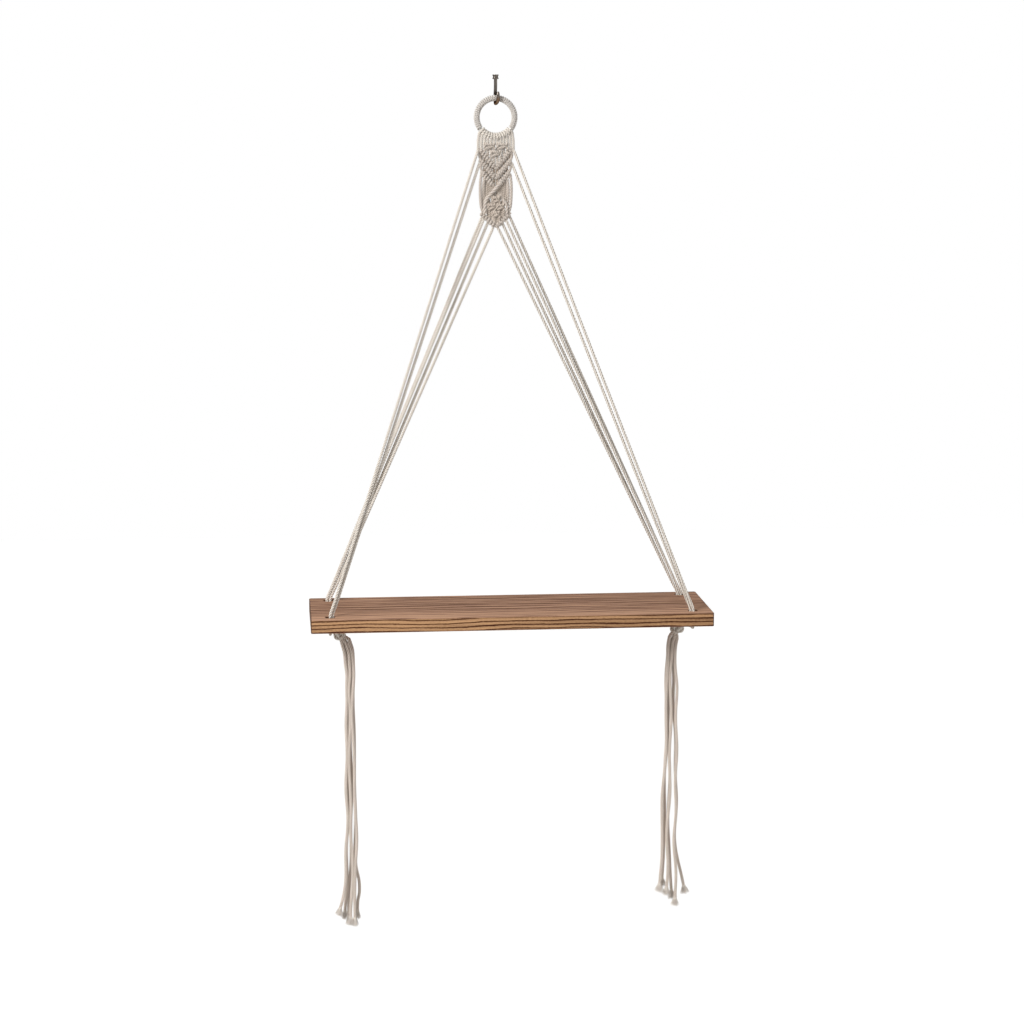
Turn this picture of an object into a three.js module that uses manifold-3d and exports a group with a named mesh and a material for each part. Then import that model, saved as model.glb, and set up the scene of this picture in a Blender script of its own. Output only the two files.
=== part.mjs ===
// Hanging rope shelf with a macrame hanger, in millimetres, +Z up.
//
// A steel hook carries a ring wound with cord. Six doubled cords are looped over the ring, are
// knotted into a panel of V-shaped rows and leave it as twelve ropes. They pass through four holes
// in a wooden board, are tied in one knot under each end and hang on as two tassels.
//
// The origin is the middle of the hook collar's flat top, where the shelf is hung up. +X runs
// along the board to the right and -Y faces the viewer.

import * as THREE from 'three';
import { mergeVertices } from 'three/addons/utils/BufferGeometryUtils.js';
import Module from 'manifold-3d';

const wasm = await Module();
wasm.setup();

// Fits
const clearance = 0.3;

// Cords
const ropeDiameter = 3.2;
const knottedDiameter = 2.9;
const headDiameter = 2.7;
const headEyeDiameter = 2.2;
const strandPitch = 3.3;
const cordSides = 8;

// Hook
const rodDiameter = 3.4;
const tipDiameter = 2.2;
const collarDiameter = 6.2;
const collarWaist = 5.2;
const collarHeight = 4.6;
const collarRim = 1.4;
const collarRoof = 1.5;
const shankLength = 11.5;
const kinkHeight = 12.3;
const bowlTurn = THREE.MathUtils.degToRad(22);
const tipRise = 6.5;

// Ring and its winding
const ringDiameter = 46;
const windingDiameter = 7;
const ringRodDiameter = 3.2;
const windingTurns = 25;
const turnGapShare = 0.18;
const windingHalfArc = THREE.MathUtils.degToRad(125);

// Macrame panel
const ribAngle = THREE.MathUtils.degToRad(8.6);
const headReach = 3.7;
const panelForward = 1.3;
const rowSlope = THREE.MathUtils.degToRad(50);
const rowWidth = 6.3;
const rowDepth = 5.4;
const hitchLength = 5.7;
const rowReaches = [17.2, 16, 14.6];
const closingSlope = THREE.MathUtils.degToRad(43);
const closingReach = 17;
const closingDrop = 112;
const leaderStart = 5;
const diamondHalf = 11.9;
const diamondDrops = [82.6, 90, 97.4];
const diamondCord = 2.8;
const diamondTurn = 3.25;
const sideReach = 15.1;

// Board
const boardLength = 420;
const boardWidth = 120;
const boardThickness = 14.5;
const boardDrop = 511;
const boardShift = 13.5;
const edgeRound = 0.9;
const cornerRound = 2;
const holeDiameter = 10;
const holeInset = 20;
const holeEdge = 15;

// Knots under the board
const knotInset = 31;
const knotDrop = 13.5;
const knotRingRadius = 3.9;
const knotLobe = 1.95;
const knotRise = 2.3;
const knotCord = 3.4;

// Worked out from the sizes above
const ringRadius = (ringDiameter - windingDiameter) / 2;
const ringTop = -(shankLength + kinkHeight);
const ringCentre = ringTop - ringRadius;
const strandRadius = knottedDiameter / 2;
const ropeRadius = ropeDiameter / 2;
const bendDrop = ringRadius + headReach + clearance + strandRadius;
const boardTop = ringCentre - boardDrop;
const knotRadius = knotRingRadius + knotLobe + knotCord / 2;

const material = (color, roughness, metalness) =>
  new THREE.MeshStandardMaterial({ color, roughness, metalness });
const steel = material(0x3a3836, 0.25, 1);
const zinc = material(0x8c8a86, 0.4, 1);
const cotton = material(0xe4dccf, 0.95, 0);
const shadedCotton = material(0xd8cdbd, 0.95, 0);
const timber = material(0x8b6a52, 0.7, 0);

const vec = (x, y, z) => new THREE.Vector3(x, y, z);

function mesh(name, geometry, look, position = vec(0, 0, 0)) {
  const piece = new THREE.Mesh(geometry, look);
  piece.name = name;
  piece.position.copy(position);
  return piece;
}

// A smooth path whose steps are its own points, close together where it bends.
class CordPath extends THREE.CatmullRomCurve3 {
  getPointAt(share, target) {
    return this.getPoint(share, target);
  }

  getTangentAt(share, target) {
    return this.getTangent(share, target);
  }
}

// A plain round cord along a list of points, with one step between each two of them.
function cord(points, diameter = ropeDiameter) {
  const section = new THREE.Shape(
    Array.from({ length: cordSides }, (_, side) => {
      const angle = (2 * Math.PI * side) / cordSides;
      return new THREE.Vector2(Math.cos(angle), Math.sin(angle)).multiplyScalar(diameter / 2);
    })
  );
  return new THREE.ExtrudeGeometry(section, {
    steps: points.length - 1,
    extrudePath: new CordPath(points, false, 'centripetal'),
    bevelEnabled: false,
  });
}

// A closed skin through a row of sections. Each has a centre and two half-axes, with
// across x up pointing along the row. A closed row joins its last section to its first.
function skin(sections, sides, closed = false) {
  const corners = [];
  const faces = [];
  const count = sections.length;
  const corner = (section, side) => (section % count) * sides + (side % sides);
  for (const { centre, across, up } of sections) {
    for (let side = 0; side < sides; side += 1) {
      const angle = (2 * Math.PI * side) / sides;
      corners.push(
        centre.clone().addScaledVector(across, Math.cos(angle)).addScaledVector(up, Math.sin(angle))
      );
    }
  }
  for (let section = 0; section < (closed ? count : count - 1); section += 1) {
    for (let side = 0; side < sides; side += 1) {
      const near = corner(section, side);
      const nearNext = corner(section, side + 1);
      const far = corner(section + 1, side);
      const farNext = corner(section + 1, side + 1);
      faces.push(near, nearNext, farNext, near, farNext, far);
    }
  }
  if (!closed) {
    for (let side = 1; side < sides - 1; side += 1) {
      faces.push(corner(0, 0), corner(0, side + 1), corner(0, side));
      faces.push(corner(count - 1, 0), corner(count - 1, side), corner(count - 1, side + 1));
    }
  }
  return new THREE.BufferGeometry().setFromPoints(corners).setIndex(faces);
}

// A round tube whose radius changes along its points.
function tube(points, radiusAt, sides, closed = false) {
  const path = new CordPath(points, closed, 'centripetal');
  const steps = closed ? points.length : points.length - 1;
  const frames = path.computeFrenetFrames(steps, closed);
  const sections = points.map((centre, step) => ({
    centre,
    across: frames.normals[step].clone().multiplyScalar(radiusAt(step / steps)),
    up: frames.binormals[step].clone().multiplyScalar(radiusAt(step / steps)),
  }));
  return skin(sections, sides, closed);
}

function solid(geometry) {
  const bare = geometry.clone();
  bare.deleteAttribute('normal');
  bare.deleteAttribute('uv');
  const merged = mergeVertices(bare, clearance / 1000);
  return new wasm.Manifold(
    new wasm.Mesh({
      numProp: 3,
      vertProperties: new Float32Array(merged.attributes.position.array),
      triVerts: new Uint32Array(merged.index.array),
    })
  );
}

function shapeOf(body) {
  const { vertProperties, triVerts } = body.getMesh();
  const geometry = new THREE.BufferGeometry();
  geometry.setAttribute('position', new THREE.BufferAttribute(vertProperties, 3));
  geometry.setIndex(new THREE.BufferAttribute(triVerts, 1));
  return geometry;
}

const joined = (geometries) =>
  shapeOf(geometries.map(solid).reduce((whole, piece) => whole.add(piece)));

// Hook

function hookCollar() {
  const outer = collarDiameter / 2;
  const waist = collarWaist / 2;
  const bore = rodDiameter / 2 + clearance;
  const ease = (outer - waist) / 2;
  const profile = [
    [0, 0],
    [outer - ease, 0],
    [outer, -ease],
    [outer, -collarRim],
    [waist, -collarRim - ease],
    [waist, ease + collarRim - collarHeight],
    [outer, collarRim - collarHeight],
    [outer, -collarHeight],
    [bore, -collarHeight],
    [bore, -collarRoof],
    [0, -collarRoof],
  ];
  const points = profile.map(([radius, height]) => new THREE.Vector2(radius, height)).reverse();
  return new THREE.LatheGeometry(points, 16).rotateX(Math.PI / 2);
}

function hookRod() {
  const depth = windingDiameter / 2 + clearance + rodDiameter / 2;
  const reach = windingDiameter / 2 / Math.cos(bowlTurn) + clearance + rodDiameter / 2;
  const inBowl = (back, height) =>
    vec(-back * Math.sin(bowlTurn), back * Math.cos(bowlTurn), height);
  const kinkTop = -shankLength;
  const points = [vec(0, 0, -collarRoof - clearance), vec(0, 0, kinkTop)];
  const kinkSteps = 5;
  for (let step = 1; step < kinkSteps; step += 1) {
    const share = step / kinkSteps;
    const back = (reach * (1 - Math.cos(Math.PI * share))) / 2;
    points.push(inBowl(back, kinkTop - kinkHeight * share));
  }
  const bowlSteps = 10;
  for (let step = 0; step <= bowlSteps; step += 1) {
    const angle = (Math.PI * step) / bowlSteps;
    points.push(inBowl(reach * Math.cos(angle), ringTop - depth * Math.sin(angle)));
  }
  points.push(inBowl(-reach, ringTop + tipRise / 2), inBowl(-reach, ringTop + tipRise));
  const tipStart = 1 - 2 / (points.length - 1);
  const radiusAt = (share) =>
    THREE.MathUtils.mapLinear(Math.max(share, tipStart), tipStart, 1, rodDiameter, tipDiameter) / 2;
  return tube(points, radiusAt, 10);
}

// Ring. Its places are given by an angle from its lowest point, and round its rod by another
// angle that is zero outwards, a quarter turn at the front and a half turn in the eye.

function onRing(angle, turn, distance) {
  const radius = ringRadius + distance * Math.cos(turn);
  return vec(radius * Math.sin(angle), -distance * Math.sin(turn), -radius * Math.cos(angle));
}

const ringRod = () => new THREE.TorusGeometry(ringRadius, ringRodDiameter / 2, 8, 32).rotateX(Math.PI / 2);

function ringWinding() {
  const thickness = (windingDiameter - ringRodDiameter) / 2 - clearance;
  const distance = windingDiameter / 2 - thickness / 2;
  const stepsPerTurn = 8;
  const steps = windingTurns * stepsPerTurn;
  const sections = [];
  for (let step = 0; step <= steps; step += 1) {
    const angle = Math.PI - windingHalfArc + (2 * windingHalfArc * step) / steps;
    const turn = (2 * Math.PI * step) / stepsPerTurn;
    const centre = onRing(angle, turn, distance);
    const radial = centre.clone().sub(onRing(angle, 0, 0)).normalize();
    const along = vec(Math.cos(angle), 0, Math.sin(angle));
    const pitch = (Math.hypot(centre.x, centre.z) * 2 * windingHalfArc) / windingTurns;
    sections.push({
      centre,
      across: along.multiplyScalar((pitch * (1 - turnGapShare)) / 2),
      up: radial.multiplyScalar(-thickness / 2),
    });
  }
  reportLeastGap(sections, stepsPerTurn);
  return skin(sections, 5);
}

// Prints the least distance between the edges of each turn and those of the next.
function reportLeastGap(sections, stepsPerTurn) {
  let least = Infinity;
  for (let step = 0; step + stepsPerTurn < sections.length; step += 1) {
    const edge = sections[step].centre.clone().add(sections[step].across);
    for (let near = -1; near <= 1; near += 1) {
      const next = sections[step + stepsPerTurn + near];
      if (next) least = Math.min(least, edge.distanceTo(next.centre.clone().sub(next.across)));
    }
  }
  console.log(`ring winding: least gap between turns ${least.toFixed(2)} mm`);
}

// One cord doubled over the ring: two legs in front, over the rod through the eye and down the
// back, where the bight joins them. The cord is drawn thin where the turns crowd in the eye.
function headKnot(index) {
  const distance = ringRodDiameter / 2 + clearance + headDiameter / 2;
  const eyeDistance = ringRodDiameter / 2 + clearance + headEyeDiameter / 2;
  const turnShares = [0.75, 0.5, 0.25, 0, -0.25, -0.55];
  const half = (rib, side) => {
    const angle = (rib - 5.5) * ribAngle;
    const legX = (rib - 5.5) * strandPitch;
    const knee = onRing(angle, Math.PI / 7, distance);
    const points = [
      vec(legX, -panelForward, -ringRadius - headReach),
      vec(legX * 0.7 + knee.x * 0.3, -panelForward, (-ringRadius - headReach) * 0.7 + knee.z * 0.3),
      knee,
    ];
    for (const share of turnShares) {
      const turn = Math.PI * (1.25 - share);
      const eyeShare = (1 - Math.cos(turn)) / 2;
      points.push(onRing(angle, turn, THREE.MathUtils.lerp(distance, eyeDistance, eyeShare)));
    }
    const back = onRing(angle + side * ribAngle * 0.12, Math.PI * 1.62, distance + clearance);
    points.push(back);
    return points;
  };
  const first = half(2 * index, 1);
  const second = half(2 * index + 1, -1);
  const bight = onRing((2 * index - 5) * ribAngle, Math.PI * 1.72, distance + headDiameter / 2);
  const points = [...first, bight, ...second.reverse()];
  const eyeRadius = headEyeDiameter / 2;
  const radiusAt = (share) => {
    const { x, z } = points[Math.round(share * (points.length - 1))];
    const inEye = THREE.MathUtils.smoothstep(ringRadius - Math.hypot(x, z), 0, distance);
    return THREE.MathUtils.lerp(headDiameter / 2, eyeRadius, inEye);
  };
  return tube(points, radiusAt, 6);
}

// Panel. A place in it is its distance across from the middle, its drop below the ring's centre
// and, where it isn't in the panel's plane, its distance back.

const inPanel = (across, drop, back = 0) => vec(across, back, -drop);

// A strand with a round top that turns about the bend line.
const hangingStrand = (across, bottom) => [
  new THREE.SphereGeometry(strandRadius, cordSides, 3).rotateX(Math.PI / 2).translate(across, 0, -bendDrop),
  cord([inPanel(across, bendDrop), inPanel(across, bottom)], knottedDiameter),
];

// One half of a square knot: an oval turn round the two inner strands, tilted to one side.
function knotTurn(across, drop, halfWidth, depth, tilt) {
  const steps = 10;
  const sections = [];
  for (let step = 0; step < steps; step += 1) {
    const angle = (2 * Math.PI * step) / steps;
    const outward = vec(depth * Math.cos(angle), halfWidth * Math.sin(angle), 0).normalize();
    sections.push({
      centre: inPanel(
        across + halfWidth * Math.cos(angle),
        drop + tilt * Math.cos(angle),
        depth * Math.sin(angle)
      ),
      across: outward.multiplyScalar(strandRadius),
      up: vec(0, 0, strandRadius),
    });
  }
  return skin(sections.reverse(), 6, true);
}

const turnHalfWidth = 1.5 * strandPitch;
const turnDepth = knottedDiameter * 0.85;
const turnTilt = knottedDiameter * 0.2;
const firstTurn = bendDrop + strandRadius + knottedDiameter * 0.45;
const secondTurn = firstTurn + knottedDiameter;
const pairFoot = secondTurn + strandRadius + clearance;
const thirdTurn = pairFoot + 2 * strandRadius;
const fourthTurn = thirdTurn + knottedDiameter;

// The V rows lie as high as the square knots above them allow, and each under the last. The
// closing row ends the panel.
const slopeTan = Math.tan(rowSlope);
const slopeCos = Math.cos(rowSlope);
const vUnder = (across, drop) =>
  drop + across * slopeTan + (strandRadius + clearance + rowWidth / 2) / slopeCos;
const firstRowDrop = Math.max(
  vUnder(strandPitch + turnHalfWidth + strandPitch, secondTurn),
  vUnder(turnHalfWidth, fourthTurn)
);
const rowStep = (rowWidth + clearance) / slopeCos;
const rows = rowReaches.map((reach, row) => ({
  drop: firstRowDrop + row * rowStep,
  reach,
  slope: rowSlope,
}));
const lastRow = rows[rows.length - 1];
const closing = { drop: closingDrop, reach: closingReach, slope: closingSlope };

const midDrop = (row, across) => row.drop - Math.abs(across) * Math.tan(row.slope);
const edgeAbove = (row, across) => midDrop(row, across) - rowWidth / 2 / Math.cos(row.slope);
const edgeBelow = (row, across) => midDrop(row, across) + rowWidth / 2 / Math.cos(row.slope);

// How far a cord's end stays off a row whose slope its axis meets at this angle.
const off = (radius, angle) => clearance + radius * Math.sin(angle);

// How far above a row a strand of this radius ends, when it comes straight down on its slope.
const seat = (row, across) =>
  edgeAbove(row, across) - off(strandRadius, row.slope) / Math.cos(row.slope);

// A row of double half hitches: a straight ribbed bar from its outer end down to the middle.
function hitchRow(side, row, end, ribs) {
  const sections = [];
  const cos = Math.cos(row.slope);
  const sin = Math.sin(row.slope);
  const outward = vec(side * cos, 0, sin);
  const length = (row.reach - end) / cos;
  const tip = inPanel(side * end, row.drop - end * Math.tan(row.slope));
  const crossways = vec(side * sin, 0, -cos);
  const toBack = vec(0, side, 0);
  for (let ring = 0; ring <= 2 * ribs; ring += 1) {
    const grooveShare = ring % 4 === 0 ? 0.74 : 0.86;
    const share = ring % 2 === 1 ? 1 : grooveShare;
    sections.push({
      centre: tip.clone().addScaledVector(outward, (length * ring) / (2 * ribs)),
      across: crossways.clone().multiplyScalar((share * rowWidth) / 2),
      up: toBack.clone().multiplyScalar((share * rowDepth) / 2),
    });
  }
  return skin(sections, cordSides);
}

// Cuts a row off at the middle of the panel, so that it meets its mirror image in a mitre.
function mitred(side, geometry) {
  const size = 4 * boardWidth;
  const block = new THREE.BoxGeometry(size, size, size).translate(side * (clearance / 2 - size / 2), 0, 0);
  return shapeOf(solid(geometry).subtract(solid(block)));
}

function vRow(side, row) {
  const hitches = Math.round(row.reach / Math.cos(row.slope) / hitchLength);
  if (row === lastRow) return hitchRow(side, row, leaderStart, 2 * hitches - 2);
  return mitred(side, hitchRow(side, row, -rowWidth / 2, 2 * hitches + 2));
}

function firstRow(side) {
  const [row] = rows;
  const outer = 5.5 * strandPitch;
  const inner = 4.5 * strandPitch;
  return joined([
    vRow(side, row),
    ...hangingStrand(side * outer, midDrop(row, outer) + rowWidth / 2),
    ...hangingStrand(side * inner, midDrop(row, inner)),
  ]);
}

function upperKnot(side) {
  const middle = side * 2 * strandPitch;
  const strands = [0.5, 1.5, 2.5, 3.5].map((pitches) => side * pitches * strandPitch);
  const footUnder = (across) =>
    Math.abs(across) < turnHalfWidth + strandRadius
      ? pairFoot
      : Math.min(seat(rows[0], across), pairFoot + strandPitch);
  return joined([
    knotTurn(middle, firstTurn, turnHalfWidth, turnDepth, turnTilt),
    knotTurn(middle, secondTurn, turnHalfWidth, turnDepth, -turnTilt),
    ...strands.flatMap((across) => hangingStrand(across, footUnder(across))),
  ]);
}

function centreKnot() {
  const strands = [-1.5, -0.5, 0.5, 1.5].map((pitches) => pitches * strandPitch);
  const top = pairFoot + clearance;
  return joined([
    knotTurn(0, thirdTurn, turnHalfWidth, turnDepth, turnTilt),
    knotTurn(0, fourthTurn, turnHalfWidth, turnDepth, -turnTilt),
    ...strands.map((across) =>
      cord([inPanel(across, top), inPanel(across, seat(rows[0], across))], knottedDiameter)
    ),
  ]);
}

// The leading cords of the third row cross and run down both sides of four square knots.
const crossOffset = (knottedDiameter + clearance) / 2;

function crossingCord(side, back) {
  const start = leaderStart - 2 * clearance * slopeCos;
  const foot = seat(closing, diamondHalf);
  const span = foot - lastRow.drop;
  const at = (across, drop, offset) => inPanel(side * across, drop, offset);
  return cord(
    [
      at(start, midDrop(lastRow, start), 0),
      at(start / 2, midDrop(lastRow, start / 2), (back * crossOffset) / 1.5),
      at(0, lastRow.drop, back * crossOffset),
      at(-diamondHalf * 0.28, lastRow.drop + span * 0.22, back * crossOffset),
      at(-diamondHalf * 0.55, lastRow.drop + span * 0.39, back * crossOffset * 0.6),
      at(-diamondHalf * 0.83, lastRow.drop + span * 0.6, back < 0 ? -crossOffset : 0),
      at(-diamondHalf * 0.96, lastRow.drop + span * 0.8, -crossOffset),
      at(-diamondHalf, foot, -crossOffset),
    ],
    knottedDiameter
  );
}

// Each square knot is two tight turns round two strands. The knots touch, and the strands of
// the upper and lowest go on into the closing row.
function diamondKnots() {
  const [top, middle, bottom] = diamondDrops;
  const radius = diamondCord / 2;
  const beside = diamondTurn + radius - clearance / 2;
  const places = [[0, top], [-beside, middle], [beside, middle], [0, bottom]];
  const turns = places.flatMap(([across, drop]) =>
    [-1, 1].map((order) =>
      knotTurn(across, drop + radius * (1 + order), diamondTurn, turnDepth, -order * turnTilt)
    )
  );
  const cores = places.filter(([, drop]) => drop !== bottom);
  const strands = cores.flatMap(([across, drop]) =>
    [-0.9 * radius, 0.9 * radius].map((apart) => {
      const place = across + apart;
      const last = across ? drop + 3 * diamondCord : seat(closing, apart);
      return cord([inPanel(place, drop - radius), inPanel(place, last)], diamondCord);
    })
  );
  return joined([...turns, ...strands]);
}

// Two loose strands hang down outside each leading cord, one of them behind it.
function sideStrand(side, column) {
  const behind = column === 0;
  const across = behind ? diamondHalf : sideReach;
  const back = behind ? crossOffset : 0;
  const below = off(strandRadius, rowSlope) / slopeCos;
  const topAcross = behind ? diamondHalf - clearance : sideReach - clearance;
  const top = edgeBelow(lastRow, topAcross) + below;
  const foot = seat(closing, across);
  const bow = 3 * clearance;
  const at = (reach, share, rear) =>
    inPanel(side * reach, top + (foot - top) * share, rear);
  return cord(
    [
      at(topAcross, 0, 0),
      at(across + bow, 0.25, back / 3),
      at(across + bow, 0.6, back),
      at(across, 0.85, back),
      at(across, 1, back),
    ],
    knottedDiameter
  );
}

const closingRow = (side) => mitred(side, hitchRow(side, closing, -rowWidth / 2, 8));

// Ropes. Where each leaves the panel, which hole it takes and its place in that hole. Rows are
// counted from 0 and the last is the closing row.

const rowEnds = [...rows, closing];
const leftStarts = [18.4, 16.4, 14.4, 12.6, 8.2, 3];
const rightStarts = [18.4, 16.4, 14.8, 10.8, 7.2, 2.4];
const ropes = [
  { row: 0, startBack: -2, hole: -1, inboard: 0.3, back: -1.2, level: 1 },
  { row: 1, startBack: 0.5, hole: -1, inboard: 3, back: 1.2, level: 0 },
  { row: 3, startBack: 1.9, hole: 1, inboard: -1, back: 1.75, level: 1 },
  { row: 3, startBack: -1.6, hole: 1, inboard: -1, back: -1.75, level: 0 },
  { row: 3, startBack: 1.6, hole: 1, inboard: 2.5, back: 1.75, level: 1 },
  { row: 3, startBack: -1.4, hole: 1, inboard: 2.5, back: -1.75, level: 0 },
];
const holeX = boardLength / 2 - holeInset;
const holeY = boardWidth / 2 - holeEdge;
const knotX = boardLength / 2 - knotInset;
const boardBottom = boardTop - boardThickness;
const knotZ = boardBottom - knotDrop;
const ropePitch = ropeDiameter + clearance;

function rope(side, index) {
  const { row, startBack, hole, inboard, back, level } = ropes[index];
  const across = (side < 0 ? leftStarts : rightStarts)[index];
  const above = rowEnds[row];
  const slot = vec(boardShift + side * (holeX - inboard), hole * holeY + back, boardTop);

  const edge = vec(side * across, startBack - panelForward, ringCentre - edgeBelow(above, across));
  const lean = Math.atan2(Math.abs(slot.x - edge.x), edge.z - slot.z);
  const start = edge.addScaledVector(
    vec(side * Math.sin(above.slope), 0, -Math.cos(above.slope)),
    off(ropeRadius, above.slope - lean)
  );

  const rimGap = ropeRadius + clearance;
  const overHole = slot.clone().add(vec(0, 0, rimGap));
  const run = (share) => start.clone().lerp(overHole, share);

  // Under the board each rope turns towards the knot, the ropes nearer to it over the others.
  const toKnot = -hole;
  const turnZ = boardBottom - rimGap - level * ropePitch;
  const rimY = hole * (holeY - holeDiameter / 2);
  const endX = boardShift + side * (knotX - (inboard < 1 ? -1 : 1) * (ropePitch / 2));
  const endY = hole * (knotRise + knotCord / 2 + clearance + ropeRadius / 4);
  const endZ = knotZ + (0.5 - level) * ropePitch + knotCord / 3;
  return cord([
    start,
    run(0.03),
    run(0.5),
    run(0.97),
    overHole,
    vec(slot.x, slot.y, boardTop - boardThickness / 2),
    vec(slot.x, slot.y, boardBottom - level * ropePitch),
    vec(slot.x, slot.y + toKnot * ropeRadius * 0.9, turnZ - ropeRadius * 0.15),
    vec(slot.x, rimY + toKnot * ropeRadius * (1 + level / 2), turnZ - ropeRadius * 0.7),
    vec(THREE.MathUtils.lerp(slot.x, endX, 0.3), THREE.MathUtils.lerp(rimY, endY, 0.35),
      THREE.MathUtils.lerp(turnZ - ropeRadius * 0.9, endZ, 0.35)),
    vec(endX, endY, endZ),
  ]);
}

// Board

function board() {
  const halfX = boardLength / 2 - edgeRound;
  const halfY = boardWidth / 2 - edgeRound;
  const outline = new THREE.Shape();
  outline.moveTo(cornerRound - halfX, -halfY);
  outline.lineTo(halfX - cornerRound, -halfY);
  outline.absarc(halfX - cornerRound, cornerRound - halfY, cornerRound, -Math.PI / 2, 0);
  outline.absarc(halfX - cornerRound, halfY - cornerRound, cornerRound, 0, Math.PI / 2);
  outline.absarc(cornerRound - halfX, halfY - cornerRound, cornerRound, Math.PI / 2, Math.PI);
  outline.absarc(cornerRound - halfX, cornerRound - halfY, cornerRound, Math.PI, Math.PI * 1.5);
  for (const x of [-holeX, holeX]) {
    for (const y of [-holeY, holeY]) {
      outline.holes.push(new THREE.Path().absarc(x, y, holeDiameter / 2 + edgeRound, 0, 2 * Math.PI, true));
    }
  }
  return new THREE.ExtrudeGeometry(outline, {
    depth: boardThickness - 2 * edgeRound,
    bevelThickness: edgeRound,
    bevelSize: edgeRound,
    bevelSegments: 1,
    curveSegments: 8,
  }).translate(0, 0, edgeRound - boardThickness);
}

// Knots. Each is an overhand knot drawn up into three lobes, on edge to the front.

function endKnot() {
  const steps = 36;
  const points = [];
  for (let step = 0; step < steps; step += 1) {
    const angle = (2 * Math.PI * step) / steps;
    const radius = knotRingRadius + knotLobe * Math.cos(3 * angle);
    points.push(
      vec(radius * Math.sin(2 * angle), knotRise * Math.sin(3 * angle), radius * Math.cos(2 * angle))
    );
  }
  return tube(points, () => knotCord / 2, 8, true);
}

// Tassels. The points of each strand are its distance towards the board's middle, its distance
// back and its drop, all from the knot's centre. It starts square to the knot, at its own angle.

const leftTassel = [
  {
    angle: -16,
    route: [
      [-0.5, -1.9, 14], [1.5, -1.9, 20], [3.6, -1.9, 29], [5.2, -1.9, 42], [5.8, -1.9, 58],
      [5, -1.9, 95], [4.6, -2, 150], [5.6, -2.2, 200], [4.6, -2.4, 232], [3, -2.8, 262],
      [0.4, -3.2, 286], [-2.4, -3.6, 300],
    ],
  },
  {
    angle: -16,
    route: [
      [-0.7, 1.9, 14], [1.3, 1.9, 20], [3.3, 1.9, 29], [4.6, 1.9, 42], [5, 1.9, 58],
      [4.4, 1.9, 95], [5.2, 2, 150], [5, 2.2, 200], [4.8, 2.6, 236], [4.2, 3, 270], [3, 3.6, 306],
    ],
  },
  {
    angle: 10,
    route: [
      [3.3, -1.9, 14], [5.5, -1.9, 20.5], [7.6, -1.9, 29], [9, -1.9, 42], [9.6, -1.9, 58],
      [9, -1.9, 95], [8.6, -2, 150], [9.4, -2.2, 200], [10.4, -2.4, 236], [10.2, -2.8, 270],
      [8.8, -3.4, 311],
    ],
  },
  {
    angle: 10,
    route: [
      [3.1, 1.9, 14], [5.3, 1.9, 20.5], [7.3, 1.9, 29], [8.6, 1.9, 42], [9, 1.9, 58],
      [8.4, 1.9, 95], [9.2, 2, 150], [8.8, 2.2, 200], [8.6, 2.6, 236], [7.8, 3, 270],
      [6.7, 3.4, 312],
    ],
  },
  {
    angle: 36,
    route: [
      [7.4, -1.9, 12.5], [9.6, -1.9, 18.5], [11.5, -1.9, 27], [12.9, -1.9, 40],
      [13.4, -1.9, 58], [13, -1.9, 95], [13.2, -2, 150], [14.6, -2.2, 190], [15.2, -2.4, 218],
      [14, -2.6, 246], [13.8, -2.8, 275], [12.6, -3.2, 312],
    ],
  },
  {
    angle: 36,
    route: [
      [7.2, 1.9, 12.5], [9.4, 1.9, 18.5], [11.2, 1.9, 27], [12.5, 1.9, 40], [13, 1.9, 58],
      [12.6, 1.9, 95], [13.4, 2, 150], [13, 2.2, 200], [13.6, 2.4, 236], [15.8, 2.6, 256],
      [18.4, 2.8, 270], [18.2, 3, 283], [16, 3.2, 293], [15, 3.4, 306],
    ],
  },
];
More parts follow.
